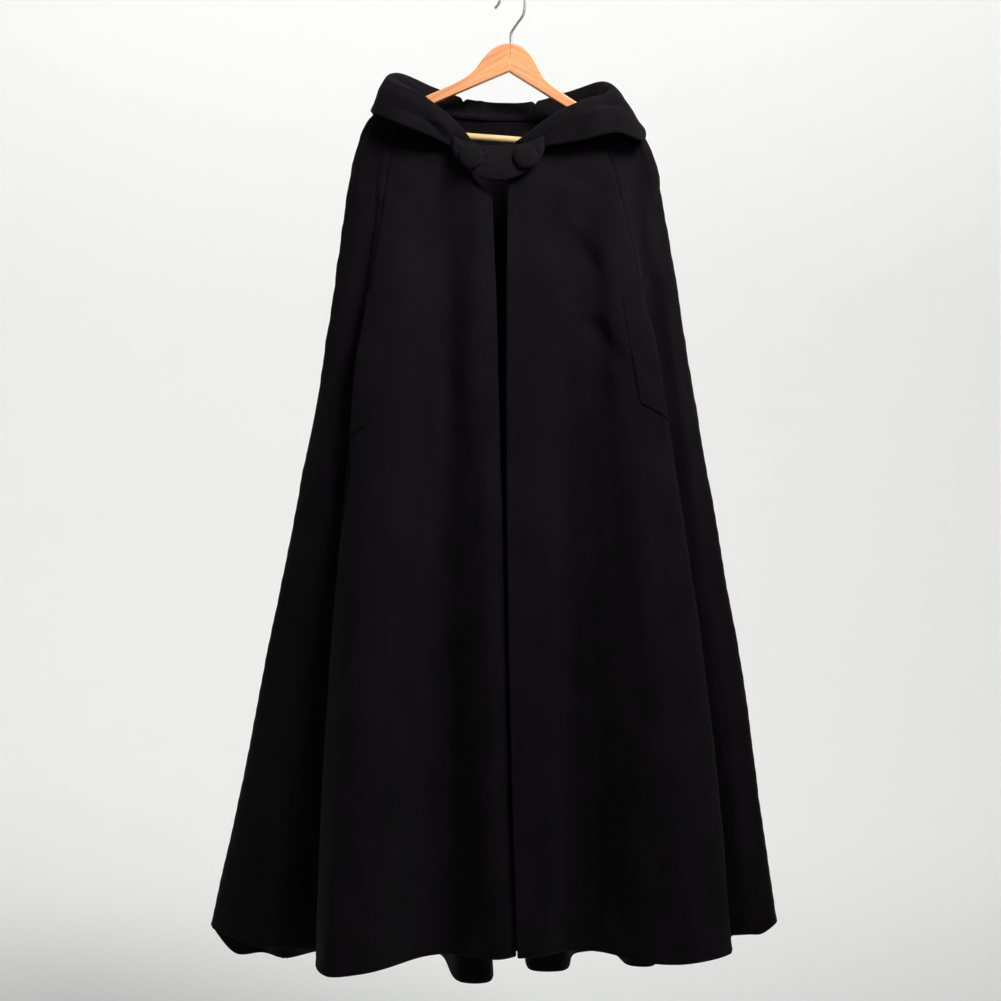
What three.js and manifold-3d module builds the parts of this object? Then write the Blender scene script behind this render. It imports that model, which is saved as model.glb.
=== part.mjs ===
// A full-length hooded wool cloak hanging on a wooden clothes hanger.
// Millimetres, +Z up. The origin is the inside top of the hanger's hook, where a rail carries it.
// The cloak's front faces -Y. Right and left are the wearer's, so the right half is at -X.
//
// Cut: two fronts, two side fronts and two side backs that meet over the shoulders, two backs with a
// centre seam, a hood of two sides and a centre strip, a neck binding, pointed welts round two arm
// slits, and a neck tab with two buttons.
import * as THREE from "three";
import { mergeVertices } from "three/addons/utils/BufferGeometryUtils.js";
import Module from "manifold-3d";

const wasm = await Module();
wasm.setup();

// ---------------------------------------------------------------- driving sizes

const CLOTH = 2.4; // heavy melton wool
const SEAM_GAP = 0.4; // between the edges of two pieces that are sewn together
const LAID_ON = 0.35; // between a piece and the one that it lies on

const WOOD_TOP = -95; // height of the hanger's top, where the wire enters
const ROLL = THREE.MathUtils.degToRad(4.4); // the hanger hangs a little low on the wearer's left

const HANGER = {
  halfWidth: 185,
  thick: 12,
  edgeRound: 1.6,
  peakDepth: 40, // height of the wood at the centre joint
  barDrop: 137, // from the wood's top to the centre of the trouser bar
  barRadius: 5,
  socketDepth: 9,
  bossInner: 162, // where the arm's end starts to drop to the bar
  bossBelow: 5, // wood under the bar
  slope: 0.517, // of the arms
  armDepth: 15.5, // upright depth of an arm
  armFrom: 97, // where the hump ends and the straight arm starts
  hump: [[20, 0], [34, -15], [44, -34], [54, -52], [70, -60]], // handles and middle of its two curves
};

const HOOK = {
  wire: 1.9,
  loop: 19.5,
  stemInWood: 22,
  holeGap: 0.5,
  stem: [[0, 0], [0.5, 16], [4, 22], [10, 31], [17, 41], [19.5, 50]], // x, and height over the wood
  tip: [[-16.2, -13], [-17, -18], [-23, -26]], // x, and height from the loop's centre
  sides: 6,
  steps: 60,
};

const NECK = { halfWidth: 132, halfDepth: 38, side: -90.4, front: -155, back: -99, turn: 8 };
const CHEST = { z: -320, centre: -10, halfWidth: 228, halfDepth: 52, power: 0.833 };
const YOKE = { share: 0.16, sideDrop: 8, frontDrop: 26, tight: 0.84 };

// Every fold line of the body, from the right front edge round the back to the left front edge.
// deg: its place on the chest oval, from the front centre towards -X.  sink: how far it lies inside
// that oval.  x, y, z: where it meets the hem.  tip: half the width of its rounded crest at the hem.
// bow: sideways bend at half height.
const FOLDS = [
  { name: "right edge", deg: 2.5, sink: 0, x: 5.5, y: -78, z: -1393, tip: 0, bow: 0 },
  { name: "right edge roll", deg: 6.5, sink: 0, x: -22, y: -86, z: -1394, tip: 0, bow: 0 },
  { name: "right front valley", deg: 16.8, sink: 3, x: -103, y: -56, z: -1394, tip: 18, bow: 0 },
  { name: "right front ridge", deg: 33, sink: -2, x: -222, y: -182, z: -1394, tip: 26, bow: -4 },
  { name: "right seam", deg: 45.5, sink: 0, x: -268, y: -128, z: -1392, tip: 0, bow: -18 },
  { name: "right recess", deg: 53, sink: 6, x: -262, y: -52, z: -1388, tip: 10, bow: -8 },
  { name: "right side front", deg: 67, sink: 3, x: -348, y: -44, z: -1385, tip: 16, bow: 0 },
  { name: "right side", deg: 88, sink: 2, x: -429, y: 14, z: -1370, tip: 16, bow: 10 },
  { name: "right back turn", deg: 104, sink: 1, x: -388, y: 96, z: -1424, tip: 18, bow: 0 },
  { name: "right back seam", deg: 118, sink: 4, x: -330, y: 44, z: -1420, tip: 0, bow: 0 },
  { name: "back outer 1", deg: 131, sink: -3, x: -262, y: 138, z: -1430, tip: 22, bow: 0 },
  { name: "back inner 1", deg: 143, sink: 4, x: -204, y: 34, z: -1432, tip: 14, bow: 0 },
  { name: "back outer 2", deg: 156, sink: -4, x: -134, y: 152, z: -1434, tip: 24, bow: 0 },
  { name: "back inner 2", deg: 168, sink: 7, x: -52, y: -24, z: -1440, tip: 17, bow: 0 },
  { name: "back outer 3", deg: 180, sink: -3, x: -4, y: 150, z: -1434, tip: 18, bow: 0 },
  { name: "back inner 3", deg: 192, sink: 5, x: 53, y: -4, z: -1428, tip: 19, bow: 0 },
  { name: "back outer 4", deg: 205, sink: -4, x: 124, y: 150, z: -1434, tip: 24, bow: 0 },
  { name: "back inner 4", deg: 218, sink: 4, x: 190, y: 36, z: -1430, tip: 14, bow: 0 },
  { name: "back outer 5", deg: 231, sink: -2, x: 250, y: 136, z: -1426, tip: 22, bow: 0 },
  { name: "left back seam", deg: 243, sink: 3, x: 306, y: 58, z: -1405, tip: 0, bow: 0 },
  { name: "left back turn", deg: 257, sink: 0, x: 360, y: 84, z: -1385, tip: 14, bow: 0 },
  { name: "left side", deg: 272, sink: 1, x: 382, y: 18, z: -1362, tip: 14, bow: 4 },
  { name: "left side front", deg: 290, sink: 0, x: 350, y: -10, z: -1374, tip: 10, bow: 3 },
  { name: "left recess", deg: 304, sink: 9, x: 298, y: -4, z: -1380, tip: 8, bow: 6 },
  { name: "left seam", deg: 317, sink: 0, x: 311, y: -60, z: -1389, tip: 0, bow: 22 },
  { name: "left front ridge", deg: 325, sink: -2, x: 215, y: -112, z: -1394, tip: 26, bow: 6 },
  { name: "left front valley", deg: 338, sink: 2, x: 107, y: -30, z: -1394, tip: 20, bow: 0 },
  { name: "left front roll", deg: 350, sink: 0, x: 45, y: -66, z: -1394, tip: 0, bow: -3 },
  { name: "left edge", deg: 359.4, sink: 0, x: 9, y: -83, z: -1393, tip: 0, bow: -7 },
];
const EDGE_CURL = 9; // the right front's edge turns in by this much

// The arm slits, one in each front seam, and the welts round them.
const SLITS = {
  right: { top: -460, bottom: -665, frontLift: 5.5, sideSink: 12, part: 3, weltWidth: 31 },
  left: { top: -434, bottom: -637, frontLift: 7, sideSink: 11, part: 3, weltWidth: 27 },
};
const WELT = { point: 24, thick: 1.3 };
const LIP_REACH = 46; // how far from the slit its lips still lift

// The hood lies thrown back.  Each station is a line from the neck seam over the crest, down the
// outside or into the bag behind the back, and up or out to the face edge.
// deg: its place on the neck seam.  crest, fold, edge: x, y, z in the row frame.
const HOOD = [
  { name: "right end", deg: 19, crest: [-54, -53, -247], fold: [-68, -57, -249], edge: [-82, -58, -252] },
  { name: "right lapel", deg: 38, crest: [-84, -58, -213], fold: [-104, -68, -221], edge: [-122, -68, -234] },
  { name: "right collar", deg: 60, crest: [-130, -54, -178], fold: [-150, -68, -197], edge: [-161, -69, -219] },
  { name: "right corner", deg: 80, crest: [-170, -33, -150], fold: [-184, -44, -172], edge: [-191, -48, -203] },
  { name: "right peak", deg: 100, crest: [-162, 4, -138], fold: [-184, 4, -163], edge: [-199, 2, -192] },
  { name: "right back", deg: 126, crest: [-118, 40, -150], fold: [-150, 80, -262], edge: [-172, 74, -212] },
  { name: "right nape", deg: 159.5, crest: [-66, 51, -166], fold: [-73, 94, -425], edge: [-80, 114, -240] },
  { name: "nape", deg: 176.5, crest: [-16, 53, -172], fold: [-12, 96, -448], edge: [-12, 120, -252] },
  { name: "left nape", deg: 190, crest: [38, 51, -169], fold: [48, 94, -425], edge: [54, 114, -244] },
  { name: "left back", deg: 211, crest: [86, 40, -158], fold: [126, 80, -268], edge: [152, 74, -222] },
  { name: "left peak", deg: 260, crest: [133, 4, -150], fold: [162, 4, -186], edge: [187, 2, -213] },
  { name: "left corner", deg: 280, crest: [144, -32, -170], fold: [171, -46, -205], edge: [185, -50, -241] },
  { name: "left collar", deg: 301, crest: [104, -54, -187], fold: [132, -68, -212], edge: [150, -69, -233] },
  { name: "left lapel", deg: 324, crest: [58, -58, -210], fold: [78, -66, -228], edge: [92, -67, -245] },
  { name: "left end", deg: 348, crest: [8, -53, -246], fold: [25, -57, -248], edge: [41, -58, -251] },
];
const HOOD_SEAM_X = [-69, 36]; // where the strip's two seams cross the crest
const CREST_ROLL = 4;
const BAG_ROLL = { share: 0.07, least: 1.5, most: 15 }; // the bottom roll's radius, by the bag's depth
const HOOD_SEAM_GAP = 1.15; // wider, because its seams bend round a fold
const NECK_SEAM_GAP = 1.3; // wider, because hood and body meet at an angle

const TAB = {
  x: -18,
  back: -63.1,
  thick: 6,
  halfWidth: 63,
  earZ: -239,
  topZ: -252.5,
  bottomZ: -299,
  cheekZ: -262, // where the sides are widest below the ears
};
const BUTTON = { radius: 17.2, rise: 7.5, spread: 38, z: -268, rim: 2.2 };
const BINDING = { from: 128, to: 232, halfHeight: 4, thick: 1.6 };

// ---------------------------------------------------------------- helpers

const vec = (x, y, z) => new THREE.Vector3(x, y, z);
const mix = (a, b, t) => a.clone().lerp(b, t);
const lerp = THREE.MathUtils.lerp;
const smooth = (points) => new THREE.CatmullRomCurve3(points, false, "centripetal");
const bump = (t) => (t <= 0 || t >= 1 ? 0 : Math.sin(Math.PI * t) ** 2);

// The hanger's roll, about the point where the wire enters the wood.
function rolled(x, y, z) {
  return vec(x, y, z).applyAxisAngle(vec(0, 1, 0), ROLL).add(vec(0, 0, WOOD_TOP));
}

// A closed wall through a grid of { point, normal }, half its thickness to each side.  The rows run
// down and the columns across, seen from outside.  turned says in which rows a cell's diagonal leans
// the other way, and keep drops triangles, to give the wall an outline of its own.
function wall(grid, thick, { turned = () => false, keep = () => true } = {}) {
  const columns = grid[0].length;
  const positions = [];
  for (const side of [0.5, -0.5])
    for (const { point, normal } of grid.flat())
      positions.push(...point.clone().addScaledVector(normal, side * thick).toArray());

  const faces = [];
  for (let i = 0; i < grid.length - 1; i++)
    for (let j = 0; j < columns - 1; j++) {
      const [a, b, c, d] = [[i, j], [i, j + 1], [i + 1, j + 1], [i + 1, j]];
      const pair = turned(i) ? [[a, b, d], [b, c, d]] : [[a, b, c], [a, c, d]];
      for (const face of pair) if (face.every(keep)) faces.push(face.map(([r, q]) => r * columns + q));
    }

  const inner = grid.length * columns;
  const edgesOf = (face) => face.map((from, k) => [from, face[(k + 1) % 3]]);
  const met = new Set(faces.flatMap(edgesOf).map(String));
  const indices = [];
  for (const face of faces) {
    const [a, b, c] = face;
    indices.push(a, b, c, inner + a, inner + c, inner + b);
    for (const [from, to] of edgesOf(face))
      if (!met.has(String([to, from]))) indices.push(to, from, inner + from, to, inner + from, inner + to);
  }
  const geometry = new THREE.BufferGeometry();
  geometry.setAttribute("position", new THREE.Float32BufferAttribute(positions, 3));
  geometry.setIndex(indices);
  return geometry.toNonIndexed();
}

// A side column of a grid, drawn in by half a gap, square to its seam.
function openSeam(grid, column, next, gap = SEAM_GAP) {
  const seam = grid.map((row) => row[column].point.clone());
  grid.forEach((row, i) => {
    const along = seam[Math.min(i + 1, seam.length - 1)].clone().sub(seam[Math.max(i - 1, 0)]).normalize();
    const inward = row[next].point.clone().sub(seam[i]);
    inward.addScaledVector(along, -inward.dot(along)).normalize();
    row[column].point.addScaledVector(inward, gap / 2);
  });
}

function toSolid(geometry) {
  const bare = geometry.clone();
  bare.deleteAttribute("normal");
  bare.deleteAttribute("uv");
  const merged = mergeVertices(bare, 1e-3);
  const mesh = new wasm.Mesh({
    numProp: 3,
    vertProperties: merged.attributes.position.array,
    triVerts: new Uint32Array(merged.index.array),
  });
  return new wasm.Manifold(mesh);
}

function toGeometry(solid) {
  const mesh = solid.getMesh();
  const geometry = new THREE.BufferGeometry();
  geometry.setAttribute("position", new THREE.BufferAttribute(mesh.vertProperties, 3));
  geometry.setIndex(new THREE.BufferAttribute(mesh.triVerts, 1));
  return geometry;
}

// ---------------------------------------------------------------- materials

const finish = (color, roughness, metalness = 0) =>
  new THREE.MeshStandardMaterial({ color, roughness, metalness });
const WOOL = finish(0x17161a, 0.95);
const WOOL_TRIM = finish(0x1b1a1e, 0.95);
const BEECH = finish(0xd98f5c, 0.4);
const PALE_WOOD = finish(0xe6c68a, 0.45);
const CHROME = finish(0xc8c9cc, 0.15, 1);

const cloak = new THREE.Group();
const hanger = new THREE.Group();
hanger.position.z = WOOD_TOP;
hanger.rotation.y = ROLL;
cloak.add(hanger);

function add(group, name, geometry, material) {
  const mesh = new THREE.Mesh(geometry, material);
  mesh.name = name;
  group.add(mesh);
  return mesh;
}

// ---------------------------------------------------------------- body of the cloak

const signedPower = (w) => Math.sign(w) * Math.abs(w) ** CHEST.power;

// The neck seam lies on the hanger's arms at the sides, dips at the front and is level at the back.
// Lines are drawn out to the sides there.
function neckPoint(deg) {
  const chest = THREE.MathUtils.degToRad(deg);
  const a = chest + THREE.MathUtils.degToRad(NECK.turn) * Math.sin(2 * chest);
  const dip = Math.cos(a) > 0 ? NECK.front : NECK.back;
  const x = -NECK.halfWidth * signedPower(Math.sin(a));
  const level = Math.cos(a) < 0 ? x * Math.sin(ROLL) * Math.cos(a) ** 2 : 0;
  const z = lerp(NECK.side, dip, Math.cos(a) ** 2) + level;
  return rolled(x, -NECK.halfDepth * signedPower(Math.cos(a)), z);
}

function chestPoint(deg, sink) {
  const a = THREE.MathUtils.degToRad(deg);
  const x = CHEST.centre - (CHEST.halfWidth - sink) * signedPower(Math.sin(a));
  return vec(x, -(CHEST.halfDepth - sink) * signedPower(Math.cos(a)), CHEST.z);
}

// Each fold's crest is two lines, tip to either side of it along the hem, so that it is round.
const lines = [];
const lineAt = {};
FOLDS.forEach((fold, i) => {
  const before = FOLDS[Math.max(i - 1, 0)];
  const after = FOLDS[Math.min(i + 1, FOLDS.length - 1)];
  const along = vec(after.x - before.x, after.y - before.y, 0);
  const share = fold.tip / along.length();
  along.normalize();
  lineAt[fold.name] = lines.length;
  for (const side of fold.tip > 0 ? [-1, 1] : [0]) {
    const hem = vec(fold.x, fold.y, fold.z).addScaledVector(along, side * fold.tip);
    lines.push({ ...fold, deg: fold.deg + side * share * (after.deg - before.deg), hem });
  }
});

// A point of one line, from the neck seam (0) over the shoulder to the hem (1).
function linePoint({ deg, sink, hem, bow }, down) {
  const chest = chestPoint(deg, sink);
  if (down >= YOKE.share) {
    const f = (down - YOKE.share) / (1 - YOKE.share);
    const point = mix(chest, hem, f);
    point.x += bow * 4 * f * (1 - f);
    return point;
  }
  const neck = neckPoint(deg);
  const sideways = Math.sin(THREE.MathUtils.degToRad(deg)) ** 2;
  const corner = neck.z - lerp(YOKE.frontDrop, YOKE.sideDrop, sideways);
  const slope = vec(hem.x + bow * 4 - chest.x, hem.y - chest.y, 0).divideScalar(hem.z - chest.z);
  const shoulder = chest.clone().addScaledVector(slope, corner - chest.z).setZ(corner);
  const [a, b] = [mix(neck, shoulder, YOKE.tight), mix(chest, shoulder, YOKE.tight)];
  return new THREE.CubicBezierCurve3(neck, a, b, chest).getPoint(down / YOKE.share);
}

// The whole body's surface.  around: 0 to 1 over the lines, down: 0 to 1.
const sections = new Map();
function bodyPoint(around, down) {
  if (!sections.has(down)) sections.set(down, smooth(lines.map((line) => linePoint(line, down))));
  const point = sections.get(down).getPoint(THREE.MathUtils.clamp(around, 0, 1));
  const roll = 1 / (lines.length - 1);
  if (around < roll) point.y += EDGE_CURL * (1 - around / roll) ** 2;
  return point;
}

// The surface's outward direction.
function bodyNormal(around, down) {
  const step = 2e-3;
  const [a0, a1] = [Math.max(around - step, 0), Math.min(around + step, 1)];
  const [d0, d1] = [Math.max(down - step, 0), Math.min(down + step, 1)];
  const across = bodyPoint(a1, down).sub(bodyPoint(a0, down));
  const below = bodyPoint(around, d1).sub(bodyPoint(around, d0));
  return across.cross(below).normalize();
}

// A fold's place around the body: its own line, or the middle of the two that round its crest.
const aroundOf = (name) => {
  const two = FOLDS.find((fold) => fold.name === name).tip > 0;
  return (lineAt[name] + (two ? 0.5 : 0)) / (lines.length - 1);
};
const downOf = (z, around) => {
  const [top, bottom] = [bodyPoint(around, YOKE.share).z, bodyPoint(around, 1).z];
  return YOKE.share + ((z - top) / (bottom - top)) * (1 - YOKE.share);
};

// A panel's surface: the body's, with the lip of its arm slit lifted and parted from the other.
// edge: the slit's seam, dir: +1 where the panel lies after it, lift: + for the proud lip.
function panelPoint(around, down, lip) {
  const point = bodyPoint(around, down);
  const normal = bodyNormal(around, down);
  if (!lip) return { point, normal };
  const { slit, edge, dir, lift } = lip;
  const seamPoint = bodyPoint(edge, down);
  const along = (seamPoint.z - slit.top) / (slit.bottom - slit.top);
  const away = seamPoint.distanceTo(point) / LIP_REACH;
  const open = bump(along) * Math.max(0, 1 - away) ** 2;
  const inward = bodyPoint(edge + dir * 2e-3, down).sub(seamPoint).normalize();
  point.addScaledVector(normal, lift * open).addScaledVector(inward, slit.part * open);
  return { point, normal };
}

const YOKE_ROWS = [0, 0.15, 0.3, 0.46, 0.62, 0.8, 1].map((share) => share * YOKE.share);
const STEP = WELT.point / 3; // the welts' points rise one column in each of three rows
const SLIT_FIRST = YOKE_ROWS.length + 1; // the row at a slit's top
const SLIT_LAST = SLIT_FIRST + 10;
const SLIT_MIDDLE = SLIT_FIRST + 5;
const ON_PANEL = (CLOTH + WELT.thick) / 2 + LAID_ON;

// The levels at which a slit's panels have rows: the welt's points are three even steps high.
function levelsOf({ slit, edge }) {
  const middle = slit.bottom + 3 * STEP - (slit.top - 3 * STEP);
  const heights = [0, 1, 2, 3].map((k) => slit.top - k * STEP);
  for (const share of [0.25, 0.5, 0.75]) heights.push(slit.top - 3 * STEP + share * middle);
  for (const k of [3, 2, 1, 0]) heights.push(slit.bottom + k * STEP);
  const slitRows = heights.map((z) => downOf(z, edge));
  const above = (YOKE.share + slitRows[0]) / 2;
  const last = slitRows.at(-1);
  const below = [0.22, 0.45, 0.72, 1].map((share) => lerp(last, 1, share));
  return [...YOKE_ROWS, above, ...slitRows, ...below];
}

// A front or side panel's grid, from its slit's seam to its far fold.  Its first columns keep the
// welt's distances from the seam, so that the welt can lie on them.
function slitPanel(lip, far, columns) {
  const { slit, edge, dir } = lip;
  const levels = levelsOf(lip);
  const [from, to] = [downOf(slit.top, edge), downOf(slit.bottom, edge)];
  return levels.map((down) => {
    const level = THREE.MathUtils.clamp(down, from, to);
    const reach = bodyPoint(edge + dir * 0.004, level).distanceTo(bodyPoint(edge, level)) / 0.004;
    const row = [0, 1, 2, 3].map((k) => edge + (dir * (k / 3) * slit.weltWidth) / reach);
    const last = row.at(-1);
    for (let j = 1; j <= columns; j++) row.push(lerp(last, far, j / columns));
    const made = row.map((around) => panelPoint(around, down, lip));
    return dir > 0 ? made : made.reverse();
  });
}

const right = aroundOf("right seam");
const left = aroundOf("left seam");
const LIPS = {
  right_front: { slit: SLITS.right, edge: right, dir: -1, lift: SLITS.right.frontLift },
  right_side: { slit: SLITS.right, edge: right, dir: 1, lift: -SLITS.right.sideSink },
  left_front: { slit: SLITS.left, edge: left, dir: 1, lift: SLITS.left.frontLift },
  left_side: { slit: SLITS.left, edge: left, dir: -1, lift: -SLITS.left.sideSink },
};

// Draws in the side columns that are sewn to another panel and makes the panel solid.
function sewn(name, grid, sides, options) {
  const last = grid[0].length - 1;
  if (sides.includes("first")) openSeam(grid, 0, 1);
  if (sides.includes("last")) openSeam(grid, last, last - 1);
  add(cloak, name, wall(grid, CLOTH, options), WOOL);
}

const SLIT_PANELS = [
  { name: "front_right", lip: "right_front", far: "right edge", columns: 9, sewn: ["last"] },
  { name: "side_front_right", lip: "right_side", far: "right side", columns: 6, sewn: ["first", "last"] },
  { name: "side_front_left", lip: "left_side", far: "left side", columns: 6, sewn: ["first", "last"] },
  { name: "front_left", lip: "left_front", far: "left edge", columns: 9, sewn: ["first"] },
];
for (const { name, lip, far, columns, sewn: sides } of SLIT_PANELS) {
  const { dir } = LIPS[lip];
  const grid = slitPanel(LIPS[lip], aroundOf(far), columns);
  sewn(name, grid, sides, { turned: (i) => (dir > 0) === i >= SLIT_MIDDLE });
  add(cloak, "welt_" + lip, welt(grid, dir), WOOL_TRIM);
}

// Half a long hexagon beside the slit, made from its panel's points.
function welt(panelGrid, dir) {
  const rows = panelGrid.slice(SLIT_FIRST, SLIT_LAST + 1);
  const grid = rows.map((row) => {
    const near = dir > 0 ? row.slice(0, 4) : row.slice(-4);
    const raised = ({ point, normal }) => ({ point: point.clone().addScaledVector(normal, ON_PANEL), normal });
    return near.map(raised);
  });
  const last = grid.length - 1;
  const keep = ([i, j]) => (dir > 0 ? j : 3 - j) <= Math.min(i, last - i);
  return wall(grid, WELT.thick, { turned: (i) => (dir > 0) === i >= SLIT_MIDDLE - SLIT_FIRST, keep });
}

// A panel with no slit, between two fold lines.
function plainPanel(name, levels, from, to, columns) {
  const grid = levels.map((down) => {
    const row = [];
    for (let j = 0; j <= columns; j++) row.push(panelPoint(lerp(from, to, j / columns), down));
    return row;
  });
  sewn(name, grid, ["first", "last"]);
}
const SEAM_FOLDS = ["right side", "right back seam", "back outer 3", "left back seam", "left side"];
const SEAMS = SEAM_FOLDS.map(aroundOf);
const backLevels = [...YOKE_ROWS, ...[0.08, 0.2, 0.4, 0.65, 1].map((share) => lerp(YOKE.share, 1, share))];
plainPanel("side_back_right", levelsOf(LIPS.right_side), SEAMS[0], SEAMS[1], 6);
plainPanel("back_right", backLevels, SEAMS[1], SEAMS[2], 18);
plainPanel("back_left", backLevels, SEAMS[2], SEAMS[3], 18);
plainPanel("side_back_left", levelsOf(LIPS.left_side), SEAMS[3], SEAMS[4], 6);

// ---------------------------------------------------------------- hood and neck binding

// The body's coordinate of a place on the neck seam.
function aroundAt(deg) {
  let [low, high] = [0, lines.length - 1];
  while (high - low > 1) {
    const middle = (low + high) >> 1;
    if (lines[middle].deg <= deg) low = middle;
    else high = middle;
  }
  return (low + (deg - lines[low].deg) / (lines[high].deg - lines[low].deg)) / (lines.length - 1);
}

// The hood starts just past the body's edge, in line with it.
function hoodSeam(deg) {
  const around = aroundAt(deg);
  const point = bodyPoint(around, 0);
  const up = point.clone().sub(bodyPoint(around, 0.01)).normalize();
  return point.addScaledVector(up, CLOTH / 2 + NECK_SEAM_GAP);
}

const stationCurve = (key) => smooth(HOOD.map((station) => vec(...station[key])));
const hoodCurves = { crest: stationCurve("crest"), fold: stationCurve("fold"), edge: stationCurve("edge") };
const degCurve = smooth(HOOD.map((station) => vec(station.deg, 0, 0)));

// One line over the hood, from the neck seam to the face edge.  round: 0 to 1 from end to end.
function hoodLine(round) {
  const seam = hoodSeam(degCurve.getPoint(round).x);
  const [crest, fold, edge] = ["crest", "fold", "edge"].map((key) => hoodCurves[key].getPoint(round));
  const out = edge.clone().sub(seam).setZ(0).normalize();
  const roll = THREE.MathUtils.clamp((crest.z - fold.z) * BAG_ROLL.share, BAG_ROLL.least, BAG_ROLL.most);
  const turn = edge.clone().sub(crest).normalize().multiplyScalar(roll);
  const middle = mix(crest, fold, 0.5).addScaledVector(out, CREST_ROLL - roll / 2);
  return smooth([
    seam,
    crest.clone().addScaledVector(out, -CREST_ROLL),
    crest.clone().addScaledVector(out, CREST_ROLL),
    middle,
    fold.clone().sub(turn),
    fold.clone().add(turn),
    edge,
  ]);
}

const hoodLines = new Map();
function hoodPoint(round, over) {
  if (!hoodLines.has(round)) hoodLines.set(round, hoodLine(round));
  return hoodLines.get(round).getPoint(over);
}

function hoodPiece(from, to, columns) {
  const OVER = 14;
  const step = 1e-3;
  const grid = [];
  for (let i = 0; i <= OVER; i++) {
    const over = i / OVER;
    const row = [];
    for (let j = 0; j <= columns; j++) {
      const round = lerp(from, to, j / columns);
      const [r0, r1] = [Math.max(round - step, 0), Math.min(round + step, 1)];
      const [o0, o1] = [Math.max(over - step, 0), Math.min(over + step, 1)];
      const across = hoodPoint(r1, over).sub(hoodPoint(r0, over));
      const along = hoodPoint(round, o1).sub(hoodPoint(round, o0));
      row.push({ point: hoodPoint(round, over).clone(), normal: across.cross(along).normalize() });
    }
    grid.push(row);
  }
  openSeam(grid, 0, 1, HOOD_SEAM_GAP);
  openSeam(grid, columns, columns - 1, HOOD_SEAM_GAP);
  return wall(grid, CLOTH);
}

// Where the hood's crest passes a given x, behind the neck.
function roundAtCrest(x) {
  let [low, high] = [0.35, 0.65];
  for (let i = 0; i < 40; i++) {
    const middle = (low + high) / 2;
    if (hoodCurves.crest.getPoint(middle).x < x) low = middle;
    else high = middle;
  }
  return low;
}
const [stripFrom, stripTo] = HOOD_SEAM_X.map(roundAtCrest);
add(cloak, "hood_right", hoodPiece(0, stripFrom, 15), WOOL);
add(cloak, "hood_strip", hoodPiece(stripFrom, stripTo, 6), WOOL);
add(cloak, "hood_left", hoodPiece(stripTo, 1, 15), WOOL);

function binding() {
  const grid = [];
  for (const side of [-1, 0, 1]) {
    const row = [];
    for (let j = 0; j <= 14; j++) {
      const around = aroundAt(lerp(BINDING.from, BINDING.to, j / 14));
      const normal = bodyNormal(around, 0);
      const point = bodyPoint(around, 0);
      const below = bodyPoint(around, 0.01).sub(point).normalize();
      point.addScaledVector(normal, -(CLOTH + BINDING.thick) / 2 - LAID_ON);
      row.push({ point: point.addScaledVector(below, side * BINDING.halfHeight), normal });
    }
    grid.push(row);
  }
  return wall(grid, BINDING.thick);
}
add(cloak, "neck_binding", binding(), WOOL_TRIM);

// ---------------------------------------------------------------- neck tab and buttons

// A crescent with two pointed upper corners.
function tab() {
  const shape = new THREE.Shape();
  const { halfWidth: w, earZ, topZ, bottomZ, cheekZ } = TAB;
  shape.moveTo(-w, earZ);
  shape.quadraticCurveTo(-w * 0.62, topZ - 2, 0, topZ);
  shape.quadraticCurveTo(w * 0.62, topZ - 2, w, earZ);
  shape.lineTo(w + 1, cheekZ + 6);
  shape.bezierCurveTo(w - 4, cheekZ - 16, w * 0.5, bottomZ, 0, bottomZ);
  shape.bezierCurveTo(-w * 0.5, bottomZ, -w + 4, cheekZ - 16, -w - 1, cheekZ + 6);
  shape.closePath();
  const how = { depth: TAB.thick, bevelEnabled: false, curveSegments: 8 };
  const geometry = new THREE.ExtrudeGeometry(shape, how);
  return geometry.rotateX(Math.PI / 2).translate(TAB.x, TAB.back, 0);
}
add(cloak, "neck_tab", tab(), WOOL_TRIM);

// A domed button covered in the cloak's cloth.
function button() {
  const profile = [new THREE.Vector2(0, 0), new THREE.Vector2(BUTTON.radius - 2, 0)];
  profile.push(new THREE.Vector2(BUTTON.radius, BUTTON.rim));
  for (let i = 1; i <= 5; i++) {
    const a = (i / 5) * (Math.PI / 2);
    const rise = BUTTON.rim + (BUTTON.rise - BUTTON.rim) * Math.sin(a);
    profile.push(new THREE.Vector2(i === 5 ? 0 : BUTTON.radius * Math.cos(a), rise));
  }
  return new THREE.LatheGeometry(profile, 20);
}
const tabFront = TAB.back - TAB.thick - LAID_ON;
for (const [name, side] of [["button_right", -1], ["button_left", 1]]) {
  const mesh = add(cloak, name, button(), WOOL_TRIM);
  mesh.position.set(TAB.x + side * BUTTON.spread, tabFront, BUTTON.z);
  mesh.rotation.x = Math.PI;
}

// ---------------------------------------------------------------- hanger

// The outline of the wood: a hump, a straight arm and a drop at the end for the bar, then mirrored.
function woodOutline() {
  const { halfWidth: w, bossInner, slope, armDepth, armFrom, hump } = HANGER;
  const bottomAt = (x) => -HANGER.peakDepth - slope * x;
  const topAt = (x) => bottomAt(x) + armDepth;
  const foot = -HANGER.barDrop - HANGER.barRadius - HANGER.bossBelow;
  const half = new THREE.Path();
  half.moveTo(0, 0);
  half.bezierCurveTo(...hump[0], ...hump[1], ...hump[2]);
  half.bezierCurveTo(...hump[3], ...hump[4], armFrom, topAt(armFrom));
  half.lineTo(w - 12, topAt(w - 12));
  half.quadraticCurveTo(w, topAt(w), w, bottomAt(w) - 2);
  half.lineTo(w - 4, foot);
  half.lineTo(bossInner + 4, foot);
  half.lineTo(bossInner - 4, bottomAt(bossInner - 4));
  half.lineTo(0, bottomAt(0));
  const points = half.getPoints(10);
  const mirrored = points.slice(1, -1).reverse().map(({ x, y }) => new THREE.Vector2(-x, y));
  return new THREE.Shape([...points, ...mirrored]);
}

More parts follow.
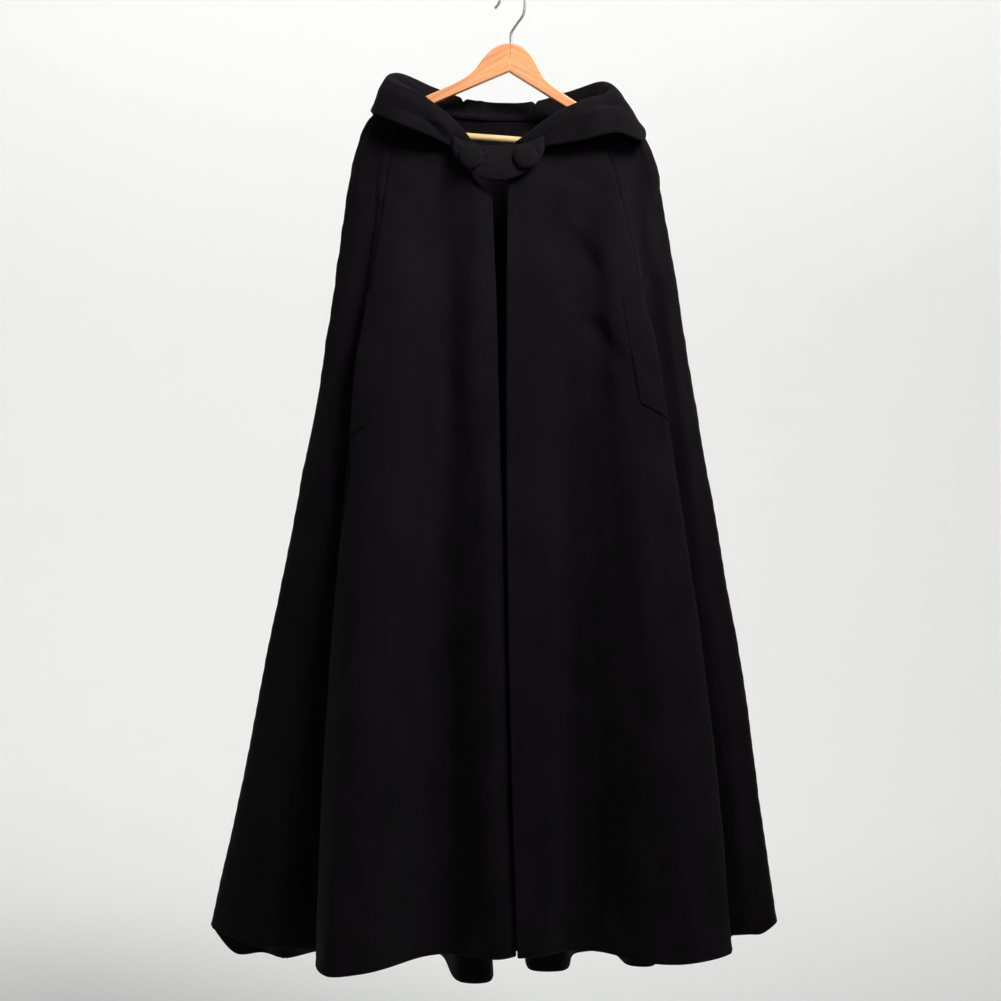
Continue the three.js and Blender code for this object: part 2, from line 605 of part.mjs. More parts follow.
function wood() {
  const round = HANGER.edgeRound;
  const geometry = new THREE.ExtrudeGeometry(woodOutline(), {
    depth: HANGER.thick - 2 * round,
    bevelThickness: round,
    bevelSize: round,
    bevelOffset: -round,
    bevelSegments: 2,
    curveSegments: 10,
  });
  return geometry.rotateX(Math.PI / 2).translate(0, HANGER.thick / 2 - round, 0);
}

// The bar's ends sit in sockets in the arms, and the wire in a hole at the joint.
const reach = HANGER.bossInner + HANGER.socketDepth;
const barGeometry = (radius, half) =>
  new THREE.CylinderGeometry(radius, radius, 2 * half, 20)
    .rotateZ(Math.PI / 2)
    .translate(0, 0, -HANGER.barDrop);
const sockets = toSolid(barGeometry(HANGER.barRadius + SEAM_GAP, reach));
const holeRadius = HOOK.wire + HOOK.holeGap;
const wireHole = toSolid(
  new THREE.CylinderGeometry(holeRadius, holeRadius, 2 * HOOK.stemInWood + 2, 20)
    .rotateX(Math.PI / 2)
    .rotateY(-ROLL),
);
const bored = toSolid(wood()).subtract(sockets).subtract(wireHole);
for (const [name, side] of [["hanger_arm_right", -1], ["hanger_arm_left", 1]]) {
  const half = new THREE.BoxGeometry(400, 60, 400).translate(side * (200 + SEAM_GAP / 2), 0, -100);
  add(hanger, name, toGeometry(bored.intersect(toSolid(half))), BEECH);
}
add(hanger, "trouser_bar", barGeometry(HANGER.barRadius, reach - SEAM_GAP), PALE_WOOD);

// The wire: up out of the wood, out to one side, over the loop and down to a flared end.
function hook() {
  const { wire, loop, stemInWood, sides, steps } = HOOK;
  const centre = -loop + wire; // the loop's inside top is the origin
  const points = [vec(0, 0, WOOD_TOP - stemInWood + 1)];
  for (const [x, z] of HOOK.stem) points.push(vec(x, 0, WOOD_TOP + z));
  for (let deg = 0; deg <= 200; deg += 20) {
    const a = THREE.MathUtils.degToRad(deg);
    points.push(vec(loop * Math.cos(a), 0, centre + loop * Math.sin(a)));
  }
  for (const [x, z] of HOOK.tip) points.push(vec(x, 0, centre + z));
  const section = new THREE.Shape().absarc(0, 0, wire, 0, 2 * Math.PI);
  return new THREE.ExtrudeGeometry(section, {
    steps,
    curveSegments: sides,
    extrudePath: smooth(points),
    bevelEnabled: false,
  });
}
add(cloak, "hook", hook(), CHROME);

export default cloak;
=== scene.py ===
# %% [markdown]
# # A hooded wool cloak on a wooden hanger
#
# A full-length cloak of heavy black melton wool hangs by its neck from a beech clothes hanger. The
# form of every piece was drawn first, in one shared frame: the origin is the inside top of the wire
# hook, +Z is up, and the cloak's front faces -Y. Right and left are the wearer's, so the right half
# is at -X. This file loads that frame and gives each piece its real surface: thin cloth with
# creases and pressed seams, stitches, covered buttons, wood grain and plated wire.

# %% Load the imported part
import math

import bpy
import numpy as np
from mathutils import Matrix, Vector, noise


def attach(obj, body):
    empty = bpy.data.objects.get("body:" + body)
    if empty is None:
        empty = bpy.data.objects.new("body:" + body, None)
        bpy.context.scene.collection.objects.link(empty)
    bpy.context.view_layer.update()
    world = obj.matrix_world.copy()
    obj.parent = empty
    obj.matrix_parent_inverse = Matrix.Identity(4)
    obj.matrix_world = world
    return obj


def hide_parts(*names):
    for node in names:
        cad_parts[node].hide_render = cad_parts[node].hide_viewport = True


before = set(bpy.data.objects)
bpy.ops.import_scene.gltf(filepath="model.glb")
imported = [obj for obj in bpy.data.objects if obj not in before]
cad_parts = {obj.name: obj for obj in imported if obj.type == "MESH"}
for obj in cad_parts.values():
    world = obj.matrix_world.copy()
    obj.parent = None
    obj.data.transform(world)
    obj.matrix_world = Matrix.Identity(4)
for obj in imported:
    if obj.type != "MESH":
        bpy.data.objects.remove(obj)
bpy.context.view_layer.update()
MM = 0.001

# %% [markdown]
# ## Camera
#
# Clothes on a rail are usually shot level, from about three metres, at the height of the middle of
# the garment. A longish lens from there keeps the shoulders and the hem in true proportion.

# %% Camera
camera = bpy.data.objects.new("camera", bpy.data.cameras.new("camera"))
bpy.context.scene.collection.objects.link(camera)
camera.location = (-0.015, -3.0, -0.752)
camera.rotation_euler = (math.pi / 2, 0, 0)
camera.data.lens = 74.93
camera.data.sensor_width = 36
bpy.context.scene.camera = camera
print("camera at", tuple(camera.location))

# %% [markdown]
# ## Node and colour helpers
#
# Colours are written as sRGB hex, as a colour card gives them, and one function turns them to the
# linear values that shaders use. One more function adds a node, sets it and wires it.


# %% Node and colour helpers
def linear(hex_colour):
    channels = [int(hex_colour[i : i + 2], 16) / 255 for i in (1, 3, 5)]
    return [*(c / 12.92 if c <= 0.04045 else ((c + 0.055) / 1.055) ** 2.4 for c in channels), 1.0]


def add(tree, kind, inputs=(), stops=(), **settings):
    """Adds a shader node. inputs: a value or another node's output for each named or numbered
    socket. stops: (position, hex colour) pairs, from low to high, for a node with a colour ramp."""
    made = tree.nodes.new("ShaderNode" + kind)
    for index, (position, colour) in enumerate(stops):
        elements = made.color_ramp.elements
        if 0 < index < len(stops) - 1:
            elements.new(position)
        elements[index].position = position
        elements[index].color = linear(colour)
    for name, value in settings.items():
        setattr(made, name, value)
    for name, value in dict(inputs).items():
        if isinstance(value, bpy.types.NodeSocket):
            tree.links.new(value, made.inputs[name])
        else:
            made.inputs[name].default_value = value
    return made


def new_material(name):
    material = bpy.data.materials.new(name)
    material.use_nodes = True
    tree = material.node_tree
    tree.nodes.clear()
    return material, tree


print("helpers ready")

# %% [markdown]
# ## A pale room and soft light
#
# Black wool only shows its form by the light that slides over it, so the light is one large soft
# window above and in front, a little to the right, that falls off towards the hem. The room is a
# wide pale bowl whose floor curves up into its wall, so that every side of the cloak has a plain
# background. It is drawn as a disc whose rim is extruded outwards and upwards in small steps.

# %% Room
FLOOR_Z = -1.75
FLOOR_RADIUS = 3.4
COVE_RADIUS = 1.8
WALL_TOP = 3.2

bpy.ops.object.select_all(action="DESELECT")
bpy.ops.mesh.primitive_circle_add(
    vertices=96, radius=FLOOR_RADIUS, fill_type="NGON", location=(0, 0, FLOOR_Z)
)
room = bpy.context.object
room.name = "pale_room"
bpy.ops.object.transform_apply(location=True)
bpy.ops.object.mode_set(mode="EDIT")
bpy.ops.mesh.select_mode(type="EDGE")
bpy.ops.mesh.select_all(action="SELECT")
bpy.ops.mesh.region_to_loop()
radius, height = FLOOR_RADIUS, FLOOR_Z
for step in range(1, 13):
    angle = step / 12 * math.pi / 2
    wanted = FLOOR_RADIUS + COVE_RADIUS * math.sin(angle)
    rise = FLOOR_Z + COVE_RADIUS * (1 - math.cos(angle))
    bpy.ops.mesh.extrude_edges_move(TRANSFORM_OT_translate={"value": (0, 0, rise - height)})
    bpy.ops.transform.resize(value=(wanted / radius, wanted / radius, 1))
    radius, height = wanted, rise
bpy.ops.mesh.extrude_edges_move(TRANSFORM_OT_translate={"value": (0, 0, WALL_TOP - height)})
bpy.ops.mesh.select_all(action="SELECT")
bpy.ops.mesh.normals_make_consistent(inside=True)
bpy.ops.object.mode_set(mode="OBJECT")
bpy.ops.object.shade_smooth()

paint, tree = new_material("matt_white_wall_paint")
# emulsion paint: pale and matt, so the room gives a plain background and no mirror of the lights
flat_paint = {"Base Color": linear("#F1F1EF"), "Roughness": 0.9, "Specular IOR Level": 0.1}
surface = add(tree, "BsdfPrincipled", flat_paint)
add(tree, "OutputMaterial", {"Surface": surface.outputs[0]})
room.data.materials.append(paint)
print("room radius", round(radius, 2), "m")


# %% Lights
def soft_light(name, position, aim, size, power, spread=180):
    light = bpy.data.objects.new(name, bpy.data.lights.new(name, "AREA"))
    light.data.shape = "RECTANGLE"
    light.data.size, light.data.size_y = size
    light.data.energy = power
    light.data.spread = math.radians(spread)
    light.location = position
    light.rotation_euler = (Vector(aim) - Vector(position)).to_track_quat("-Z", "Y").to_euler()
    bpy.context.scene.collection.objects.link(light)
    return light


soft_light("window", (1.0, -1.35, 1.0), (0.14, 0.0, 0.34), (1.1, 0.8), 27, spread=96)
soft_light("ceiling", (0.0, 0.2, 2.4), (0.0, 0.6, -1.0), (3.0, 3.0), 5)
soft_light("back_fill", (-0.9, 2.4, 1.8), (0.0, 0.0, -0.5), (2.0, 1.4), 12)
soft_light("wall_wash", (0.3, 2.0, 2.7), (0.6, 5.2, 0.9), (5.0, 1.0), 125)

world = bpy.data.worlds.new("room_air")
world.use_nodes = True
world.node_tree.nodes["Background"].inputs["Color"].default_value = linear("#F4F6FA")
world.node_tree.nodes["Background"].inputs["Strength"].default_value = 0.12
bpy.context.scene.world = world
bpy.context.scene.view_settings.view_transform = "Standard"
print("lights: window, ceiling, back fill, wall wash")

# %% [markdown]
# ## Wool
#
# The cloak is melton: a thick woollen twill, fulled until its weave closes up, then brushed and
# shorn. That hides the threads under a short nap, so the cloth is matt, nearly black, and gains a
# faint grey bloom where the light grazes it. The nap is about 0.3 mm long; it is drawn as bump of
# about 1.5 mm, coarser than real, so that it still shows from three metres. The colour moves
# slightly in soft patches a few centimetres wide, where the nap has been stroked one way or the
# other, and single paler fibres lie on it.


# %% Wool materials
def wool(name, dark, light, bloom, nap_mm):
    """Melton between two near blacks. bloom: weight of the sheen, nap_mm: size of the drawn nap."""
    material, tree = new_material(name)
    place = add(tree, "TexCoord").outputs["Object"]
    along = add(tree, "Mapping", {"Vector": place, "Scale": (1.0, 1.0, 0.45)}).outputs[0]
    patches = add(tree, "TexNoise", {"Vector": along, "Scale": 26, "Detail": 3, "Roughness": 0.6})
    nap = add(tree, "TexNoise", {"Vector": along, "Scale": 1000 / nap_mm, "Detail": 3, "Roughness": 0.7})
    fibre_scale = 1000 / (nap_mm * 2.2)
    fibres = add(tree, "TexNoise", {"Vector": along, "Scale": fibre_scale, "Detail": 2, "Distortion": 1.4})
    tone = add(tree, "Math", {0: patches.outputs["Fac"], 1: 0.55}, operation="MULTIPLY")
    tone = add(tree, "Math", {0: nap.outputs["Fac"], 1: 0.45, 2: tone.outputs[0]}, operation="MULTIPLY_ADD")
    colour = add(tree, "ValToRGB", {"Fac": tone.outputs[0]}, [(0.32, dark), (0.68, light)]).outputs[0]
    only_peaks = {"Value": fibres.outputs["Fac"], "From Min": 0.66, "From Max": 0.78, "To Max": 0.35}
    lint = add(tree, "MapRange", only_peaks)
    mixed = {"Factor": lint.outputs[0], "A": colour, "B": linear("#2A292C")}
    colour = add(tree, "Mix", mixed, data_type="RGBA")
    depth = add(tree, "Math", {0: nap.outputs["Fac"], 1: fibres.outputs["Fac"]}, operation="ADD")
    bump = add(tree, "Bump", {"Height": depth.outputs[0], "Strength": 0.5, "Distance": 0.0006})
    surface = add(
        tree,
        "BsdfPrincipled",
        {
            "Base Color": colour.outputs["Result"],
            "Roughness": 0.92,
            "Specular IOR Level": 0.08,
            "Sheen Weight": bloom,
            "Sheen Roughness": 0.55,
            "Sheen Tint": linear("#8E8C92"),
            "Normal": bump.outputs[0],
        },
    )
    add(tree, "OutputMaterial", {"Surface": surface.outputs[0]})
    return material


# the panels are brushed and drink the light; tab, buttons and binding are pressed and a little paler
melton = wool("black_melton_wool_brushed", "#080608", "#131013", 0.05, 1.5)
trim_wool = wool("black_melton_wool_pressed", "#0D0B0D", "#181518", 0.06, 1.2)

thread, tree = new_material("black_thread_with_painted_groove_shade")
# black polyester, made blacker than the wool as painted shade, so stitches read as the dark line of their
# groove
thread_with_painted_shade = {"Base Color": linear("#040405"), "Roughness": 0.7, "Specular IOR Level": 0.15}
surface = add(tree, "BsdfPrincipled", thread_with_painted_shade)
add(tree, "OutputMaterial", {"Surface": surface.outputs[0]})
print("wool and thread made")

# %% [markdown]
# ## The form of the hanging cloth
#
# A cloak hangs from its neck seam over the hanger and falls in folds that widen to the hem. Its
# form is a smooth skin stretched over the crest and valley lines of those folds: each line runs
# from the neck over the shoulder to a level at the chest, then straight to its own place at the
# hem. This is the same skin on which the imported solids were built, so the new cloth lies exactly in
# their place. Millimetres are used here, as on a pattern, and turned to metres when a mesh is made.

# %% Fold lines
FOLDS = [  # name, degrees round the chest oval, sink, hem x, y, z, tip, bow
    ("right edge", 2.5, 0, 5.5, -78, -1393, 0, 0),
    ("right edge roll", 6.5, 0, -22, -86, -1394, 0, 0),
    ("right front valley", 16.8, 3, -103, -56, -1394, 18, 0),
    ("right front ridge", 33, -2, -222, -182, -1394, 26, -4),
    ("right seam", 45.5, 0, -268, -128, -1392, 0, -18),
    ("right recess", 53, 6, -262, -52, -1388, 10, -8),
    ("right side front", 67, 3, -348, -44, -1385, 16, 0),
    ("right side", 88, 2, -429, 14, -1370, 16, 10),
    ("right back turn", 104, 1, -388, 96, -1424, 18, 0),
    ("right back seam", 118, 4, -330, 44, -1420, 0, 0),
    ("back outer 1", 131, -3, -262, 138, -1430, 22, 0),
    ("back inner 1", 143, 4, -204, 34, -1432, 14, 0),
    ("back outer 2", 156, -4, -134, 152, -1434, 24, 0),
    ("back inner 2", 168, 7, -52, -24, -1440, 17, 0),
    ("back outer 3", 180, -3, -4, 150, -1434, 18, 0),
    ("back inner 3", 192, 5, 53, -4, -1428, 19, 0),
    ("back outer 4", 205, -4, 124, 150, -1434, 24, 0),
    ("back inner 4", 218, 4, 190, 36, -1430, 14, 0),
    ("back outer 5", 231, -2, 250, 136, -1426, 22, 0),
    ("left back seam", 243, 3, 306, 58, -1405, 0, 0),
    ("left back turn", 257, 0, 360, 84, -1385, 14, 0),
    ("left side", 272, 1, 382, 18, -1362, 14, 4),
    ("left side front", 290, 0, 350, -10, -1374, 10, 3),
    ("left recess", 304, 9, 298, -4, -1380, 8, 6),
    ("left seam", 317, 0, 311, -60, -1389, 0, 22),
    ("left front ridge", 325, -2, 215, -112, -1394, 26, 6),
    ("left front valley", 338, 2, 107, -30, -1394, 20, 0),
    ("left front roll", 350, 0, 45, -66, -1394, 0, -3),
    ("left edge", 359.4, 0, 9, -83, -1393, 0, -7),
]
CHEST_Z, CHEST_CENTRE, CHEST_WIDTH, CHEST_DEPTH, CHEST_POWER = -320, -10, 228, 52, 0.833
NECK_WIDTH, NECK_DEPTH, NECK_SIDE, NECK_FRONT, NECK_BACK, NECK_TURN = 132, 38, -90.4, -155, -99, 8
YOKE, YOKE_SIDE, YOKE_FRONT, YOKE_TIGHT = 0.16, 8, 26, 0.84
WOOD_TOP = -95
ROLL = math.radians(4.4)  # the hanger tilts a little
EDGE_CURL = 9
CLOTH = 2.4  # thickness of the melton

degrees, rows = [], []
for i, (name, deg, sink, x, y, z, tip, bow) in enumerate(FOLDS):
    before, after = FOLDS[max(i - 1, 0)], FOLDS[min(i + 1, len(FOLDS) - 1)]
    along = np.array([after[3] - before[3], after[4] - before[4], 0.0])
    length = np.linalg.norm(along)
    for side in (-1, 1) if tip else (0,):
        degrees.append(deg + side * tip / length * (after[1] - before[1]))
        rows.append([name, sink, np.array([x, y, z]) + along / length * side * tip, bow])
LINES = len(rows)
LINE_DEG = np.array(degrees)
LINE_SINK = np.array([row[1] for row in rows], float)
LINE_HEM = np.array([row[2] for row in rows])
LINE_BOW = np.array([row[3] for row in rows], float)
print(LINES, "fold lines")


# %% Smooth lines
def catmull(a, b, c, d, w):
    """The centripetal curve from b to c, between neighbours a and d, at share w."""
    g0, g1, g2 = (
        np.maximum(np.linalg.norm(q - p, axis=-1, keepdims=True), 1e-8) ** 0.5
        for p, q in ((a, b), (b, c), (c, d))
    )
    t1 = ((b - a) / g0 - (c - a) / (g0 + g1) + (c - b) / g1) * g1
    t2 = ((c - b) / g1 - (d - b) / (g1 + g2) + (d - c) / g2) * g1
    return b + t1 * w + (3 * (c - b) - 2 * t1 - t2) * w**2 + (2 * (b - c) + t1 + t2) * w**3


def padded(points):
    first = 2 * points[..., :1, :] - points[..., 1:2, :]
    last = 2 * points[..., -1:, :] - points[..., -2:-1, :]
    return np.concatenate([first, points, last], -2)


def place_on(t, count):
    """The span of a line of count points that holds t from 0 to 1, and the share along it."""
    place = np.clip(t, 0, 1) * (count - 1)
    span = np.minimum(place.astype(int), count - 2)
    return span, (place - span)[..., None]


def spline(points, t):
    """A smooth line through points, whose last two axes are point and x, y, z."""
    points = np.asarray(points, float)
    span, share = place_on(np.asarray(t, float), points.shape[-2])
    p = padded(points)
    return catmull(*(p[..., span + k, :] for k in range(4)), share)


def unit(v):
    return v / np.maximum(np.linalg.norm(v, axis=-1, keepdims=True), 1e-12)


def smoothstep(low, high, v):
    t = np.clip((v - low) / (high - low), 0, 1)
    return t * t * (3 - 2 * t)


print("smooth line through three points:", spline([[0, 0, 0], [1, 1, 0], [2, 0, 0]], [0.25])[0])


# %% The body's skin
def signed_power(w):
    return np.sign(w) * np.abs(w) ** CHEST_POWER


def rolled(x, y, z):
    """A point on the tilted hanger, in the frame."""
    return np.stack(
        [x * math.cos(ROLL) + z * math.sin(ROLL), y, z * math.cos(ROLL) - x * math.sin(ROLL) + WOOD_TOP], -1
    )


def neck_points(deg):
    """The neck seam. It tilts with the hanger, except that the middle of its back is level."""
    a = np.radians(deg) + math.radians(NECK_TURN) * np.sin(2 * np.radians(deg))
    x = -NECK_WIDTH * signed_power(np.sin(a))
    middle = np.cos(a) ** 2
    dip = np.where(np.cos(a) > 0, NECK_FRONT, NECK_BACK + x * math.sin(ROLL))
    z = NECK_SIDE + (dip - NECK_SIDE) * middle
    return rolled(x, -NECK_DEPTH * signed_power(np.cos(a)), z)


def chest_points(deg, sink):
    """The level line round the chest, drawn in by each fold line's sink."""
    a = np.radians(deg)
    x = CHEST_CENTRE - (CHEST_WIDTH - sink) * signed_power(np.sin(a))
    return np.stack([x, -(CHEST_DEPTH - sink) * signed_power(np.cos(a)), np.full_like(x, CHEST_Z)], -1)


LINE_NECK = neck_points(LINE_DEG)
LINE_CHEST = chest_points(LINE_DEG, LINE_SINK)
slope = LINE_HEM - LINE_CHEST
slope[:, 0] += 4 * LINE_BOW
slope /= slope[:, 2:]
sideways = np.sin(np.radians(LINE_DEG)) ** 2
corner = LINE_NECK[:, 2] - (YOKE_FRONT + (YOKE_SIDE - YOKE_FRONT) * sideways)
LINE_SHOULDER = LINE_CHEST + slope * (corner - CHEST_Z)[:, None]


def sections(down):
    """All fold lines' points at each level, from the neck seam (0) to the hem (1)."""
    down = np.asarray(down, float)[:, None, None]
    f = (down - YOKE) / (1 - YOKE)
    straight = LINE_CHEST + (LINE_HEM - LINE_CHEST) * f
    straight[..., 0] += LINE_BOW * (4 * f * (1 - f))[..., 0]
    t = np.clip(down / YOKE, 0, 1)
    a = LINE_NECK + (LINE_SHOULDER - LINE_NECK) * YOKE_TIGHT
    b = LINE_CHEST + (LINE_SHOULDER - LINE_CHEST) * YOKE_TIGHT
    over = LINE_NECK * (1 - t) ** 3 + a * 3 * t * (1 - t) ** 2 + b * 3 * t**2 * (1 - t) + LINE_CHEST * t**3
    return np.where(down >= YOKE, straight, over)


def body(around, down):
    """Points of the skin. around: 0 to 1 from the right front edge round the back, down: 0 to 1."""
    around, down = np.broadcast_arrays(np.clip(around, 0, 1), np.asarray(down, float))
    levels, level = np.unique(down, return_inverse=True)
    level = level.reshape(down.shape)
    p = padded(sections(levels))
    span, share = place_on(around, LINES)
    points = catmull(*(p[level, span + k] for k in range(4)), share)
    points[..., 1] += EDGE_CURL * np.clip(1 - around * (LINES - 1), 0, 1) ** 2
    return points


def body_normals(around, down):
    step = 2e-3
    across = body(np.minimum(around + step, 1), down) - body(np.maximum(around - step, 0), down)
    below = body(around, np.minimum(down + step, 1)) - body(around, np.maximum(down - step, 0))
    return unit(np.cross(across, below))


def around_of(name):
    found = [i for i, row in enumerate(rows) if row[0] == name]
    return sum(found) / len(found) / (LINES - 1)


def down_of(z, around):
    """The level at which the line at around passes a height."""
    top, bottom = body(around, YOKE)[..., 2], body(around, 1.0)[..., 2]
    return YOKE + (z - top) / (bottom - top) * (1 - YOKE)


print("hem at the right side:", np.round(body(np.array(around_of("right side")), np.array(1.0)), 1))

# %% [markdown]
# ## Thin cloth
#
# A real panel is one thickness of cloth with a soft, rounded edge. A grid of points on the skin
# becomes two walls, half the cloth's thickness to either side, joined round the border by a
# half-round rim. Solidify would give the walls too, but with square edges, and a wool edge has none.
# A map of lengths along the cloth is kept as UVs in metres.


# %% Thin cloth
def grid_normals(points):
    return unit(np.cross(np.gradient(points, axis=1), np.gradient(points, axis=0)))


def border(rows_, columns):
    top = [(0, j) for j in range(columns)]
    right = [(i, columns - 1) for i in range(1, rows_)]
    bottom = [(rows_ - 1, j) for j in range(columns - 2, -1, -1)]
    left = [(i, 0) for i in range(rows_ - 2, 0, -1)]
    return np.array(top + right + bottom + left)


def lengths(points):
    """Lengths along the cloth from its first column and row, in metres."""
    across = np.linalg.norm(np.diff(points, axis=1), axis=-1).cumsum(axis=1)
    down = np.linalg.norm(np.diff(points, axis=0), axis=-1).cumsum(axis=0)
    u = np.pad(across, ((0, 0), (1, 0)))
    v = np.pad(down, ((1, 0), (0, 0)))
    return np.stack([u, -v], -1) * MM


def make_piece(name, vertices, faces, material, uv=None):
    """A smooth mesh object from millimetre points, riding on the one body."""
    mesh = bpy.data.meshes.new(name)
    mesh.from_pydata((np.asarray(vertices) * MM).tolist(), [], faces)
    mesh.shade_smooth()
    mesh.materials.append(material)
    if uv is not None:
        index = np.zeros(len(mesh.loops), np.int32)
        mesh.loops.foreach_get("vertex_index", index)
        layer = mesh.uv_layers.new(name="cloth_lengths")
        layer.data.foreach_set("uv", np.asarray(uv)[index].astype(np.float32).ravel())
    piece = bpy.data.objects.new(name, mesh)
    bpy.context.scene.collection.objects.link(piece)
    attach(piece, "root")
    return piece


def cloth(name, points, thick, material):
    """A closed thin wall through a grid of points, with a round rim."""
    rows_, columns = points.shape[:2]
    normals = grid_normals(points)
    thick = np.broadcast_to(thick, points.shape[:2])[..., None]
    i, j = border(rows_, columns).T
    ring, ring_normal, ring_thick = points[i, j], normals[i, j], thick[i, j]
    out = unit(np.cross(np.roll(ring, -1, 0) - np.roll(ring, 1, 0), ring_normal))
    layers = [points + normals * thick / 2, points - normals * thick / 2]
    vertices = [layer.reshape(-1, 3) for layer in layers]
    for turn in (45, 90, 135):
        c, s = math.cos(math.radians(turn)), math.sin(math.radians(turn))
        vertices.append(ring + (ring_normal * c + out * s) * ring_thick / 2)

    size, edge = rows_ * columns, len(i)
    cell = np.arange(size).reshape(rows_, columns)
    a, b, c, d = cell[:-1, :-1], cell[:-1, 1:], cell[1:, 1:], cell[1:, :-1]
    outer = np.stack([a, b, c, d], -1).reshape(-1, 4)
    inner = np.stack([a, d, c, b], -1).reshape(-1, 4) + size
    bands = [cell[i, j], *(2 * size + k * edge + np.arange(edge) for k in range(3)), cell[i, j] + size]
    rim = [
        np.stack([np.roll(p, -1), p, q, np.roll(q, -1)], -1) for p, q in zip(bands[:-1], bands[1:])
    ]
    uv = lengths(points).reshape(-1, 2)
    uv = np.concatenate([uv, uv, *[uv[cell[i, j]]] * 3])
    faces = np.concatenate([outer, inner, *rim]).tolist()
    return make_piece(name, np.concatenate(vertices), faces, material, uv)


def wander(points, size, seed):
    """Smooth noise from -1 to 1 with features of about size mm, the same each time."""
    flat = (points.reshape(-1, 3) / size + seed * 17.3).tolist()
    return np.array([noise.noise(p) for p in flat]).reshape(points.shape[:-1])


print("cloth maker ready; noise at the origin:", round(float(wander(np.zeros((1, 3)), 50, 1)[0]), 3))

# %% [markdown]
# ## Creases
#
# On top of its big folds the cloth has smaller creases, where it is pulled towards the neck tab,
# pinched at the slits, or was folded in a drawer. Each is listed as a soft trough or ridge
# along a bent line on one side of the cloak. No two have the same length, depth or width. The
# seams get a small pressed groove and uneven puckers, because thread is shorter than cloth.

# %% Crease tables
VIEWS = {"front": (0, 1, -1), "back": (0, 1, 1), "right": (1, 0, -1), "left": (1, 0, 1)}

